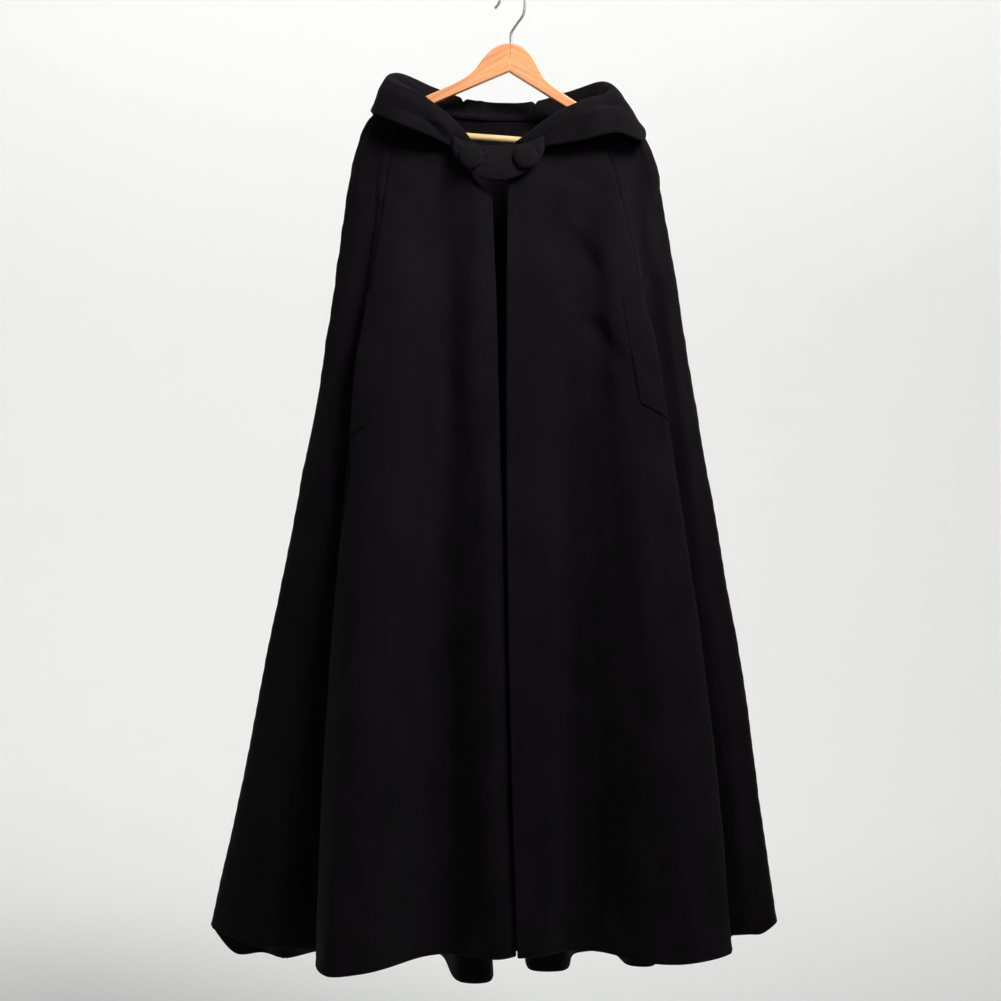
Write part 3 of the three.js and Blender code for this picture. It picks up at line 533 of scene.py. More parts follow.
CREASES = [  # view, start, bend, end (across, z), height, half width at start and end
    # pulled from the right end of the neck tab to the right shoulder
    ("front", (-190, -216), (-160, -240), (-112, -262), -6.5, 9, 12),
    ("front", (-176, -236), (-140, -262), (-84, -268), 3.5, 10, 9),
    ("front", (-152, -222), (-116, -240), (-78, -250), -5.5, 5, 6),
    ("front", (-176, -208), (-128, -226), (-74, -243), 3.0, 6, 7),
    ("front", (-88, -262), (-96, -300), (-120, -372), -3.2, 9, 16),
    # pulled from the left end of the tab
    ("front", (40, -262), (90, -248), (148, -231), 5.5, 8, 11),
    ("front", (38, -246), (70, -246), (110, -232), -5.5, 6, 9),
    ("front", (46, -276), (100, -290), (150, -330), -2.8, 12, 18),
    ("front", (60, -254), (74, -252), (88, -250), 2.4, 4, 4),
    # old fold marks and pressed dents on the fronts
    ("front", (72, -346), (92, -362), (112, -376), 1.8, 5, 6),
    ("front", (124, -326), (142, -330), (160, -328), 2.2, 8, 7),
    ("front", (86, -372), (120, -420), (150, -505), -4.0, 14, 20),
    ("front", (96, -486), (134, -520), (160, -570), -5.0, 12, 15),
    ("front", (150, -470), (158, -540), (206, -626), 2.0, 6, 8),
    ("front", (-60, -470), (-66, -560), (-58, -680), 2.6, 16, 20),
    ("front", (-150, -620), (-160, -700), (-158, -820), 2.2, 18, 24),
    ("front", (66, -600), (80, -720), (70, -860), -2.6, 22, 28),
    ("front", (128, -700), (150, -860), (140, -1040), 2.4, 20, 26),
    # the long soft valleys of the fronts, and the ridges beside them
    ("front", (-88, -360), (-93, -520), (-98, -770), -7.5, 15, 20),
    ("front", (-98, -700), (-104, -960), (-104, -1385), -10.0, 19, 30),
    ("front", (-46, -330), (-50, -500), (-54, -700), 4.5, 15, 19),
    ("front", (-170, -700), (-184, -960), (-196, -1385), 4.0, 24, 32),
    ("front", (102, -372), (122, -480), (140, -700), -6.0, 15, 19),
    ("front", (140, -670), (162, -960), (196, -1300), -8.5, 18, 27),
    ("front", (98, -700), (112, -940), (120, -1330), 3.6, 18, 26),
    # where the bottoms of the slits pinch
    ("front", (-250, -640), (-236, -652), (-216, -664), 3.0, 3.5, 5),
    ("front", (-232, -668), (-236, -720), (-248, -800), -4.0, 8, 16),
    ("front", (206, -626), (214, -660), (222, -720), -3.5, 6, 12),
    ("front", (-214, -690), (-206, -760), (-206, -840), 2.4, 10, 16),
    # the right shoulder's recess and the left shoulder's long valley
    ("front", (-224, -196), (-228, -250), (-240, -330), -3.5, 7, 9),
    ("front", (206, -292), (212, -350), (222, -430), -7.0, 12, 14),
    ("front", (186, -300), (196, -370), (206, -440), 3.0, 9, 10),
    # towards the hem
    ("front", (-300, -1040), (-318, -1180), (-330, -1330), 3.0, 16, 20),
    ("front", (-30, -1120), (-44, -1240), (-40, -1400), 3.0, 14, 22),
    ("front", (36, -980), (52, -1160), (64, -1400), 2.5, 16, 24),
    ("front", (150, -1080), (164, -1220), (170, -1400), -3.0, 16, 24),
    # over the shoulders and down the sides
    ("right", (-34, -196), (-20, -250), (-26, -330), 4.0, 9, 13),
    ("right", (30, -204), (36, -262), (28, -360), -4.5, 9, 14),
    ("right", (4, -420), (12, -560), (2, -700), -4.0, 14, 20),
    ("right", (-8, -820), (6, -960), (-2, -1150), 4.0, 16, 24),
    ("left", (-30, -206), (-16, -262), (-22, -350), 4.5, 9, 14),
    ("left", (28, -214), (34, -270), (24, -380), -4.0, 9, 14),
    ("left", (0, -460), (-8, -600), (6, -760), -3.5, 14, 18),
    ("left", (10, -880), (-4, -1010), (2, -1180), 3.5, 15, 22),
    # the back, gathered under the hood and falling free below it
    ("back", (-150, -210), (-132, -262), (-118, -350), -5.0, 9, 14),
    ("back", (-176, -250), (-170, -330), (-186, -430), 4.0, 10, 16),
    ("back", (-60, -440), (-66, -520), (-52, -640), 4.5, 14, 20),
    ("back", (18, -460), (10, -560), (22, -690), -5.0, 13, 20),
    ("back", (96, -400), (88, -490), (104, -600), 4.0, 12, 18),
    ("back", (148, -226), (136, -290), (122, -380), -5.0, 9, 15),
    ("back", (182, -262), (178, -350), (196, -460), 3.5, 9, 16),
    ("back", (-116, -700), (-130, -820), (-112, -980), -4.0, 16, 24),
    ("back", (70, -760), (58, -900), (82, -1060), 4.5, 16, 26),
    ("back", (-10, -900), (4, -1030), (-14, -1190), 4.0, 14, 22),
    ("back", (160, -840), (176, -980), (164, -1150), -4.0, 16, 24),
    ("back", (-196, -1060), (-212, -1190), (-206, -1350), 4.0, 16, 22),
    ("back", (-64, -1120), (-72, -1260), (-60, -1420), -4.0, 14, 22),
    ("back", (112, -1140), (124, -1270), (118, -1420), 4.0, 16, 22),
]
print(len(CREASES), "creases")


# %% Relief of the cloth
GROOVE_DEPTH, GROOVE_WIDTH = 2.3, 2.4


def crease_lift(points, normals, creases=CREASES):
    """How far the creases lift each point, in mm."""
    flat_shift = 5 * np.stack([wander(points, 75, 1), wander(points, 75, 2)], -1)
    lift = np.zeros(points.shape[:-1])
    for view, start, bend, end, height, wide, wide_end in creases:
        across, facing, sign = VIEWS[view]
        flat = points[..., [across, 2]] + flat_shift
        corners = np.array([start, bend, end], float)
        reach = 3 * max(wide, wide_end)
        near = np.all((flat > corners.min(0) - reach) & (flat < corners.max(0) + reach), axis=-1)
        near &= normals[..., facing] * sign > 0
        if not near.any():
            continue
        t = np.linspace(0, 1, 15)[:, None]
        line = corners[0] * (1 - t) ** 2 + corners[1] * 2 * t * (1 - t) + corners[2] * t**2
        spot, begin, step = flat[near][:, None], line[:-1], np.diff(line, axis=0)
        share = np.clip(((spot - begin) * step).sum(-1) / (step**2).sum(-1), 0, 1)
        away = np.linalg.norm(spot - begin - share[..., None] * step, axis=-1)
        best = away.argmin(axis=1)
        pick = np.arange(len(best))
        along = (best + share[pick, best]) / 14
        width = wide + (wide_end - wide) * along
        front = smoothstep(0.0, 0.5, (normals[..., facing] * sign)[near])
        ridge = height * np.exp(-((away[pick, best] / width) ** 2))
        lift[near] += ridge * np.sin(np.pi * along) ** 0.7 * front
    return lift


def seam_lift(away, along, seed):
    """A pressed seam: a narrow groove with uneven puckers beside it. away, along: mm."""
    groove = -GROOVE_DEPTH * np.exp(-((away / GROOVE_WIDTH) ** 2))
    ripple = np.sin(along / 5.1 + seed) * np.sin(along / 13.7 + 2.1 * seed) + 0.6 * np.sin(along / 8.3 - seed)
    return groove + 0.5 * ripple * np.exp(-((away / 11) ** 2))


print("relief ready")

# %% [markdown]
# ## Body panels
#
# The body is eight gores: two fronts open down the centre, two side fronts and two side backs that
# meet over the shoulders, and two backs. Each is a tall grid between two fold lines, finer beside
# its seams. The free edges at the front and the hem are turned in and so a little thicker. Where an
# arm slit runs down a front seam, the two lips part: the front one stands proud, the other sinks.

# %% Arm slits and panel table
SLITS = {
    "right": dict(edge="right seam", top=-460, bottom=-665, lift=5.5, sink=12, part=3, welt=31),
    "left": dict(edge="left seam", top=-434, bottom=-637, lift=7, sink=11, part=3, welt=27),
}
BODY_HEM, EDGE_EXTRA, EDGE_WIDTH = 40, 1.3, 7  # turned in, and how much thicker and how far
LIP_REACH = 46  # how far from the slit its lips move
SEAM_JOIN = 0.3  # sewn edges press into each other by this much
EDGE_SHARES = (0, 0.003, 0.007, 0.012, 0.018, 0.026)  # of a panel's width: fine columns beside a seam

PANELS = [  # name, from, to, columns, slit side, +1 if the slit is its first edge, free edges
    ("front_right", "right edge", "right seam", 84, "right", -1, ("first",)),
    ("side_front_right", "right seam", "right side", 56, "right", 1, ()),
    ("side_back_right", "right side", "right back seam", 46, None, 0, ()),
    ("back_right", "right back seam", "back outer 3", 120, None, 0, ()),
    ("back_left", "back outer 3", "left back seam", 120, None, 0, ()),
    ("side_back_left", "left back seam", "left side", 40, None, 0, ()),
    ("side_front_left", "left side", "left seam", 50, "left", -1, ()),
    ("front_left", "left seam", "left edge", 84, "left", 1, ("last",)),
]


def levels_down(yoke_rows=34, body_rows=196):
    upper = np.linspace(0.002, YOKE, yoke_rows, endpoint=False)
    return np.concatenate([upper, np.linspace(YOKE, 0.999, body_rows)])


def part_lips(points, normals, down, side, direction):
    """Lifts or sinks the cloth beside an arm slit and draws it away from the slit."""
    slit = SLITS[side]
    edge = around_of(slit["edge"])
    seam = body(np.full_like(down, edge), down)
    along = (seam[..., 2] - slit["top"]) / (slit["bottom"] - slit["top"])
    bump = np.where((along > 0) & (along < 1), np.sin(np.pi * np.clip(along, 0, 1)) ** 2, 0)
    away = np.linalg.norm(seam - points, axis=-1)
    is_open = (bump * np.clip(1 - away / LIP_REACH, 0, 1) ** 2)[..., None]
    inward = unit(body(np.full_like(down, edge + direction * 2e-3), down) - seam)
    is_front = (side == "right") == (direction < 0)
    lift = slit["lift"] if is_front else -slit["sink"]
    return points + normals * lift * is_open + inward * slit["part"] * is_open


def flare_edge(points):
    """The right front's edge is dragged aside just below the neck tab."""
    from_edge = np.linalg.norm(points - points[:, :1], axis=-1)
    pull = smoothstep(-326, -286, points[..., 2]) * np.exp(-((from_edge / 46) ** 2))
    return points + pull[..., None] * np.array([-30.0, -3.0, 0.0])


print(len(PANELS), "panels")


# %% Body panels
def panel_points(name, start, end, columns, side, direction, free):
    down = levels_down()
    ends = [around_of(start), around_of(end)]
    signs = [1, -1]
    inset = []
    for place, sign, edge in zip(ends, signs, ("first", "last")):
        near = body(np.full_like(down, place + sign * 0.002), down)
        reach = np.linalg.norm(near - body(np.full_like(down, place), down), axis=-1) / 0.002
        inset.append((CLOTH / 2 - (0 if edge in free else SEAM_JOIN)) / reach)
    shares = np.linspace(EDGE_SHARES[-1], 1 - EDGE_SHARES[-1], columns)
    shares = np.concatenate([EDGE_SHARES[:-1], shares, 1 - np.array(EDGE_SHARES[-2::-1])])
    first, last = (ends[0] + inset[0])[:, None], (ends[1] - inset[1])[:, None]
    around = first + (last - first) * shares
    level = np.broadcast_to(down[:, None], around.shape)
    points, normals = body(around, level), body_normals(around, level)
    if side:
        points = part_lips(points, normals, level, side, direction)
    if name == "front_right":
        points = flare_edge(points)

    along = lengths(points)[..., 1] / -MM
    lift = crease_lift(points, normals) + 1.4 * wander(points, 120, 5) + 0.5 * wander(points, 42, 6)
    for column, edge in ((0, "first"), (-1, "last")):
        if edge in free:
            continue
        away = np.linalg.norm(points - points[:, [column]], axis=-1)
        sewn = np.ones_like(away)
        if side and (direction > 0) == (column == 0):
            z, low, high = points[..., 2], SLITS[side]["bottom"], SLITS[side]["top"]
            sewn = 1 - smoothstep(low - 8, low + 8, z) * smoothstep(high + 8, high - 8, z)
        lift += sewn * seam_lift(away, along, len(name) + column)
    calm = smoothstep(0, 30, along)  # the neck seam stays where the hood meets it
    return points + normals * (lift * calm)[..., None]


def panel_thickness(points, free):
    """Cloth, and its turned edges: the hem and the front edges are a little thicker."""
    size = lengths(points) / MM
    extra = np.exp(-((np.abs(size[-1:, :, 1]) - np.abs(size[..., 1])) / EDGE_WIDTH) ** 2)
    for column, edge in ((0, "first"), (-1, "last")):
        if edge in free:
            away = np.abs(size[..., 0] - size[:, [column], 0])
            extra = np.maximum(extra, np.exp(-((away / EDGE_WIDTH) ** 2)))
    return CLOTH + EDGE_EXTRA * extra


for name, start, end, columns, side, direction, free in PANELS:
    points = panel_points(name, start, end, columns, side, direction, free)
    piece = cloth("melton_" + name, points, panel_thickness(points, free), melton)
    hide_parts(name)

# %% [markdown]
# ## Arm slits
#
# Each slit is faced with a long hexagon of the same wool, in two halves, pressed flat and held by
# two rows of topstitching along its outline. A half is a small grid laid on its panel, so that it
# takes the panel's bends. The stitches are one small spindle each, copied along the outline and
# joined, since a row of them is a single line of thread on the real cloak.

# %% Welts
WELT_POINT, WELT_THICK = 24, 1.3
STITCH_PITCH, STITCH_LENGTH, STITCH_RADIUS = 3.4, 2.6, 0.42
HALVES = [  # panel, slit side, direction from the slit
    ("welt_right_front", "right", -1),
    ("welt_right_side", "right", 1),
    ("welt_left_front", "left", 1),
    ("welt_left_side", "left", -1),
]


def welt_points(side, direction, across, along):
    """Points on a welt's panel. across: 0 at the slit to 1, along: 0 at the top to 1, same shapes."""
    slit = SLITS[side]
    edge = around_of(slit["edge"])
    z = slit["top"] - across * WELT_POINT + along * (slit["bottom"] - slit["top"] + 2 * across * WELT_POINT)
    down = down_of(z, np.full_like(z, edge))
    at_seam = body(np.full_like(down, edge), down)
    near = body(np.full_like(down, edge + direction * 0.004), down)
    reach = np.linalg.norm(near - at_seam, axis=-1) / 0.004
    around = edge + direction * (WELT_THICK / 2 + across * slit["welt"]) / reach
    points, normals = body(around, down), body_normals(around, down)
    points = part_lips(points, normals, down, side, direction)
    return points + normals * crease_lift(points, normals)[..., None], normals


def stitches(name, lines):
    """Small spindles along lines of (point, outward normal), all one mesh."""
    ring = [(math.cos(a), math.sin(a)) for a in np.radians([0, 90, 180, 270])]
    shape = [(-0.5, 0.35), (-0.3, 0.9), (0.3, 0.9), (0.5, 0.35)]
    vertices, faces = [], []
    for points, normals in lines:
        size = np.r_[0, np.linalg.norm(np.diff(points, axis=0), axis=1).cumsum()]
        for middle in np.arange(STITCH_PITCH / 2, size[-1], STITCH_PITCH):
            p = np.array([np.interp(middle, size, points[:, k]) for k in range(3)])
            n = unit(np.array([np.interp(middle, size, normals[:, k]) for k in range(3)]))
            ahead = np.array([np.interp(middle + 0.5, size, points[:, k]) for k in range(3)])
            along = unit(ahead - p) if middle + 0.5 < size[-1] else along
            side = np.cross(along, n)
            first = len(vertices)
            for share, wide in shape:
                for c, s in ring:
                    radius = STITCH_RADIUS * wide
                    vertices.append(p + along * share * STITCH_LENGTH + (side * c + n * s * 0.7) * radius)
            for k in range(3):
                for m in range(4):
                    a, b = first + 4 * k + m, first + 4 * k + (m + 1) % 4
                    faces.append([a, b, b + 4, a + 4])
            faces += [[first + m for m in (3, 2, 1, 0)], [first + 12 + m for m in range(4)]]
    return make_piece(name, vertices, faces, thread)


ON_PANEL = (CLOTH + WELT_THICK) / 2
for name, side, direction in HALVES:
    across = np.linspace(0, 1, 13)
    stretches = [np.linspace(0, 0.12, 14), np.linspace(0.12, 0.88, 42)[1:], np.linspace(0.88, 1, 14)[1:]]
    along = np.concatenate(stretches)
    order = across if direction > 0 else across[::-1]
    grid = np.meshgrid(order, along)
    points, normals = welt_points(side, direction, *grid)
    points = points + normals * (ON_PANEL + 0.25 + 0.25 * wander(points, 30, 9)[..., None])
    piece = cloth("melton_" + name, points, WELT_THICK, melton)
    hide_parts(name)

    width, tall = SLITS[side]["welt"], SLITS[side]["top"] - SLITS[side]["bottom"]
    rows_of_thread = []
    for inset in (2.2, 5.6):
        far, end = 1 - inset / width, inset / tall * 1.2
        path = [(0.04, end), (far, end), (far, 1 - end), (0.04, 1 - end)]
        steps = np.concatenate([np.linspace(p, q, 60, endpoint=False) for p, q in zip(path[:-1], path[1:])])
        on, out = welt_points(side, direction, steps[:, 0], steps[:, 1])
        rows_of_thread.append((on + out * (ON_PANEL + 0.35 + WELT_THICK / 2), out))
    stitches("stitches_" + name, rows_of_thread)

# %% [markdown]
# ## Hood
#
# The hood is thrown back. From the neck seam each of its lines climbs to a soft crest, turns
# outwards and falls: in front as a rolled collar down to the tab, behind as a deep bag. It is cut as
# two sides and a centre strip, and is modelled the same way, on a skin stretched over a row of
# stations round the neck.

# %% Hood skin
HOOD = [  # degrees round the neck seam, crest, fold, face edge
    (19, (-54, -53, -247), (-68, -57, -249), (-82, -58, -252)),
    (38, (-84, -58, -213), (-104, -68, -221), (-122, -68, -234)),
    (60, (-130, -54, -178), (-150, -68, -197), (-161, -69, -219)),
    (80, (-170, -33, -150), (-184, -44, -172), (-191, -48, -203)),
    (100, (-162, 4, -138), (-184, 4, -163), (-199, 2, -192)),
    (126, (-118, 40, -150), (-150, 80, -262), (-172, 74, -212)),
    (159.5, (-66, 51, -166), (-73, 94, -425), (-80, 114, -240)),
    (176.5, (-16, 53, -172), (-12, 96, -448), (-12, 120, -252)),
    (190, (38, 51, -169), (48, 94, -425), (54, 114, -244)),
    (211, (86, 40, -158), (126, 80, -268), (152, 74, -222)),
    (260, (133, 4, -150), (162, 4, -186), (187, 2, -213)),
    (280, (144, -32, -170), (171, -46, -205), (185, -50, -241)),
    (301, (104, -54, -187), (132, -68, -212), (150, -69, -233)),
    (324, (58, -58, -210), (78, -66, -228), (92, -67, -245)),
    (348, (8, -53, -246), (25, -57, -248), (41, -58, -251)),
]
HOOD_SEAM_X = (-69, 36)  # where the strip's two seams cross the crest
CREST_ROLL = 4
BAG_ROLL = (0.07, 1.5, 15)  # share of the bag's depth, least, most
HOOD_DEG = np.array([[row[0], 0, 0] for row in HOOD], float)
CRESTS, HOOD_FOLDS, FACE_EDGES = (np.array([row[k] for row in HOOD], float) for k in (1, 2, 3))


def around_at(deg):
    return np.interp(deg, LINE_DEG, np.arange(LINES)) / (LINES - 1)


def hood(along, over):
    """The hood's skin. along: 0 to 1 from its right to its left end, over: neck seam to face edge."""
    around = around_at(spline(HOOD_DEG, along)[..., 0])
    seam = body(around, 0.0)
    seam = seam + unit(seam - body(around, 0.01)) * (CLOTH / 2)
    crest, fold, edge = (spline(points, along) for points in (CRESTS, HOOD_FOLDS, FACE_EDGES))
    out = unit((edge - seam) * (1, 1, 0))
    share, least, most = BAG_ROLL
    roll = np.clip((crest[..., 2:] - fold[..., 2:]) * share, least, most)
    turn = unit(edge - crest) * roll
    middle = (crest + fold) / 2 + out * (CREST_ROLL - roll / 2)
    line = [seam, crest - out * CREST_ROLL, crest + out * CREST_ROLL, middle, fold - turn, fold + turn, edge]
    p = padded(np.stack(line, -2))
    span, share = place_on(over, len(line))
    picked = [np.take_along_axis(p, (span + k)[..., None, None], -2)[..., 0, :] for k in range(4)]
    return catmull(*picked, share)


tried = np.linspace(0.35, 0.65, 601)
seam_places = [float(np.interp(x, spline(CRESTS, tried)[:, 0], tried)) for x in HOOD_SEAM_X]
print("hood seams at", np.round(seam_places, 3))

# %% [markdown]
# The hood's own creases: soft pleats where the thick cloth turns the corners of the shoulders,
# a pinch where each end goes under the tab, and uneven gathers at the nape.

# %% Hood pieces
HOOD_CREASES = [
    # right collar
    ("front", (-178, -143), (-142, -158), (-112, -176), -4.6, 3.5, 4.5),
    ("front", (-184, -150), (-150, -164), (-116, -182), 3.4, 5, 6),
    ("front", (-168, -138), (-146, -148), (-126, -160), 3.0, 4, 4),
    ("front", (-186, -158), (-150, -176), (-96, -214), 3.2, 9, 8),
    ("front", (-170, -190), (-132, -208), (-84, -234), -3.4, 8, 7),
    ("front", (-176, -150), (-158, -158), (-130, -172), -2.4, 4, 4),
    ("front", (-110, -214), (-96, -222), (-80, -240), 3.4, 5, 5),
    ("front", (-122, -216), (-108, -226), (-92, -246), -3.0, 4, 4),
    # left collar
    ("front", (44, -232), (78, -212), (130, -196), 2.6, 10, 10),
    ("front", (98, -216), (124, -204), (156, -196), 2.8, 5, 6),
    ("front", (100, -206), (116, -196), (136, -186), -2.4, 5, 5),
    ("front", (120, -196), (140, -186), (166, -192), -2.6, 5, 7),
    ("front", (130, -178), (150, -176), (172, -196), 2.6, 6, 7),
    # the nape, seen from the front between the collars
    ("front", (-44, -166), (-42, -180), (-40, -200), 2.6, 5, 6),
    ("front", (-22, -168), (-24, -184), (-22, -200), -2.2, 7, 7),
    ("front", (8, -170), (10, -184), (6, -200), 1.6, 8, 8),
    # outside and bag, from behind
    ("back", (-140, -180), (-120, -240), (-60, -330), 5.0, 10, 16),
    ("back", (-160, -210), (-134, -280), (-84, -380), -5.0, 9, 14),
    ("back", (-34, -190), (-30, -260), (-40, -350), -4.0, 9, 14),
    ("back", (0, -190), (-6, -280), (4, -400), 3.6, 10, 16),
    ("back", (120, -190), (104, -250), (52, -340), 5.0, 10, 15),
    ("back", (142, -216), (120, -290), (66, -390), -4.6, 9, 14),
    ("right", (-20, -150), (4, -176), (30, -196), 3.0, 7, 9),
    ("left", (-20, -166), (6, -186), (30, -204), 3.0, 7, 9),
]


def hood_points(start, end, columns, sewn):
    over = np.concatenate([[0, 0.012, 0.026], np.linspace(0.045, 0.96, 78), [0.975, 0.988, 1]])
    shares = np.linspace(EDGE_SHARES[-1], 1 - EDGE_SHARES[-1], columns)
    shares = np.concatenate([EDGE_SHARES[:-1], shares, 1 - np.array(EDGE_SHARES[-2::-1])])
    inset = []
    for place, sign, is_sewn in ((start, 1, sewn[0]), (end, -1, sewn[1])):
        here = hood(np.full_like(over, place), over)
        near = hood(np.full_like(over, place + sign * 0.002), over)
        reach = np.maximum(np.linalg.norm(near - here, axis=-1), 0.02) / 0.002
        inset.append((CLOTH / 2 - (SEAM_JOIN if is_sewn else 0)) / reach)
    low, high = (start + inset[0])[:, None], (end - inset[1])[:, None]
    along = low + (high - low) * shares
    points = hood(along, np.broadcast_to(over[:, None], along.shape))
    normals = grid_normals(points)
    size = lengths(points) / MM
    lift = crease_lift(points, normals, HOOD_CREASES)
    lift += 1.0 * wander(points, 60, 11)
    lift += 0.5 * wander(points, 26, 12)
    for column, is_sewn in ((0, sewn[0]), (-1, sewn[1])):
        if is_sewn:
            away = np.linalg.norm(points - points[:, [column]], axis=-1)
            lift += 2 * seam_lift(away, np.abs(size[..., 1]), columns + column)
    calm = smoothstep(0, 12, np.abs(size[..., 1]))
    return points + normals * (lift * calm)[..., None]


HOOD_HEM, HOOD_EDGE_EXTRA, HOOD_EDGE_WIDTH = 20, 1.6, 8
HOOD_PIECES = [  # name, start, end, columns, sewn at start and end
    ("hood_right", 0.0, seam_places[0], 120, (False, True)),
    ("hood_strip", seam_places[0], seam_places[1], 50, (True, True)),
    ("hood_left", seam_places[1], 1.0, 120, (True, False)),
]
for name, start, end, columns, sewn in HOOD_PIECES:
    points = hood_points(start, end, columns, sewn)
    from_edge = np.abs(lengths(points)[-1:, :, 1] - lengths(points)[..., 1]) / MM
    thick = CLOTH + HOOD_EDGE_EXTRA * np.exp(-((from_edge / HOOD_EDGE_WIDTH) ** 2))
    piece = cloth("melton_" + name, points, thick, melton)
    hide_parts(name)

# %% [markdown]
# ## Neck binding
#
# Inside the back neck a narrow strip of the same wool covers the neck seam. It is folded over the
# seam and stitched along both edges, so its middle stands up as a soft round ridge.

# %% Neck binding
BINDING_FROM, BINDING_TO, BINDING_HALF, BINDING_THICK = 128, 232, 4, 1.6

around = around_at(np.linspace(BINDING_FROM, BINDING_TO, 150))
row_shares = np.linspace(-1, 1, 11)[:, None, None]
top = body(around, 0.0)
below = unit(body(around, 0.01) - top)
points = top + below * BINDING_HALF * row_shares
points = points - body_normals(around, np.zeros_like(around)) * ((CLOTH + BINDING_THICK) / 2 + 0.35)
bulge = (1 - row_shares[..., 0] ** 2) * (1 + 0.25 * wander(points, 24, 21))
piece = cloth("melton_neck_binding", points, BINDING_THICK + 1.1 * bulge, trim_wool)
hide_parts("neck_binding")

# %% [markdown]
# ## Neck tab
#
# The tab is two layers of melton sewn round the outside and turned, so its middle is puffy, its
# edges are thin and firm, and its upper corners stand out as ears. The two buttons pull it back
# against the cloak, and small puckers run from them.

# %% Neck tab
TAB_X, TAB_BACK, TAB_THICK, TAB_HALF = -18, -63.1, 6, 63
EAR_Z, TAB_TOP, TAB_BOTTOM, CHEEK_Z = -239, -252.5, -299, -262
BUTTON_RADIUS, BUTTON_RISE, BUTTON_SPREAD, BUTTON_Z = 17.2, 7.5, 38, -268


def bezier(t, handles):
    """Points on a Bezier curve through its handles."""
    degree = len(handles) - 1
    weights = [math.comb(degree, k) * t**k * (1 - t) ** (degree - k) for k in range(degree + 1)]
    return sum(w[..., None] * np.array(h, float) for w, h in zip(weights, handles))


side = np.linspace(-1, 1, 141)
share = 1 - np.abs(side)
upper = bezier(share, [(TAB_HALF, EAR_Z), (TAB_HALF * 0.62, TAB_TOP - 2), (0, TAB_TOP)])
lower = bezier(
    share,
    [
        (TAB_HALF + 1, CHEEK_Z + 6),
        (TAB_HALF - 4, CHEEK_Z - 16),
        (TAB_HALF / 2, TAB_BOTTOM),
        (0, TAB_BOTTOM),
    ],
)
for edge in (upper, lower):
    edge[:, 0] *= np.sign(side)
down = (0.5 - 0.5 * np.cos(np.linspace(0, math.pi, 61)))[:, None, None]
flat_points = upper + (lower - upper) * down
x, z = flat_points[..., 0] + TAB_X, flat_points[..., 1]
from_rim = np.minimum.reduce([
    np.linalg.norm(flat_points - upper, axis=-1),
    np.linalg.norm(flat_points - lower, axis=-1),
    (1 - np.abs(side)) * TAB_HALF * 1.05 + 0 * z,
])
puff = 1 - np.exp(-((from_rim / 7.5) ** 1.3))
pucker = np.zeros_like(z)
for button_side, turns, phase in ((-1, 9, 0.4), (1, 8, 1.9)):
    dx, dz = x - TAB_X - button_side * BUTTON_SPREAD, z - BUTTON_Z
    away, angle = np.hypot(dx, dz), np.arctan2(dz, dx)
    puff *= 1 - 0.55 * np.exp(-((away / (BUTTON_RADIUS + 2)) ** 4))
    reach = np.exp(-(((away - BUTTON_RADIUS) / 9) ** 2))
    strength = 0.6 + 0.4 * np.sin(3 * angle + phase)
    pucker += reach * np.sin(turns * angle + phase + np.sin(2 * angle)) * strength
pucker += np.exp(-(((x - TAB_X + 3) / 5) ** 2)) * smoothstep(-276, -296, z) * -1.3
place = np.stack([x, np.full_like(x, TAB_BACK - TAB_THICK / 2), z], -1)
wave = wander(place, 22, 31)
thick = 2.6 + 4.8 * puff + (1.3 * pucker + 1.1 * wave) * np.clip(puff * 1.5, 0, 1)
place[..., 1] += 0.9 - 0.45 * puff - 0.4 * pucker * puff
tab = cloth("melton_neck_tab", place, np.maximum(thick, 2.4), trim_wool)
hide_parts("neck_tab")

# %% [markdown]
# ## Buttons
#
# A domed metal shell covered with a disc of the same wool, pulled tight and gathered under the rim.
# Each starts as a sphere that is flattened, cut off at the back and rounded at the cut.

# %% Covered buttons
TAB_FRONT = TAB_BACK - TAB_THICK - 0.35
for name, button_side in (("button_right", -1), ("button_left", 1)):
    bpy.ops.object.select_all(action="DESELECT")
    middle = Vector((TAB_X + button_side * BUTTON_SPREAD, TAB_FRONT - 1.6, BUTTON_Z)) * MM
    bpy.ops.mesh.primitive_uv_sphere_add(
        segments=72, ring_count=36, radius=BUTTON_RADIUS * MM, location=middle, rotation=(math.pi / 2, 0, 0)
    )
    button = bpy.context.object
    button.name = "covered_" + name
    bpy.ops.object.transform_apply(location=True, rotation=True)
    bpy.ops.object.mode_set(mode="EDIT")
    bpy.ops.mesh.select_all(action="SELECT")
    bpy.ops.transform.resize(value=(1, (BUTTON_RISE - 1.6) / BUTTON_RADIUS, 1), center_override=middle)
    bpy.ops.mesh.bisect(
        plane_co=(0, TAB_FRONT * MM, 0), plane_no=(0, 1, 0), use_fill=True, clear_outer=True
    )
    bpy.ops.mesh.bevel(offset=0.0004, segments=3, affect="EDGES")
    bpy.ops.object.mode_set(mode="OBJECT")
    bpy.ops.object.shade_smooth()
    button.data.materials.append(trim_wool)
    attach(button, "root")
    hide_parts(name)
    print(button.name, len(button.data.polygons), "faces")

# %% [markdown]
# ## Hanger
#
# The hanger is sawn from beech in two halves, glued end to end at the middle, sanded and varnished,
# and its bar is a turned dowel of a paler wood. The grain runs along each arm. The wire hook is
# bent cold from plated steel and pushed into a hole at the glue joint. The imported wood
# is kept and gets its materials, and the wire is drawn anew as one smooth tube.


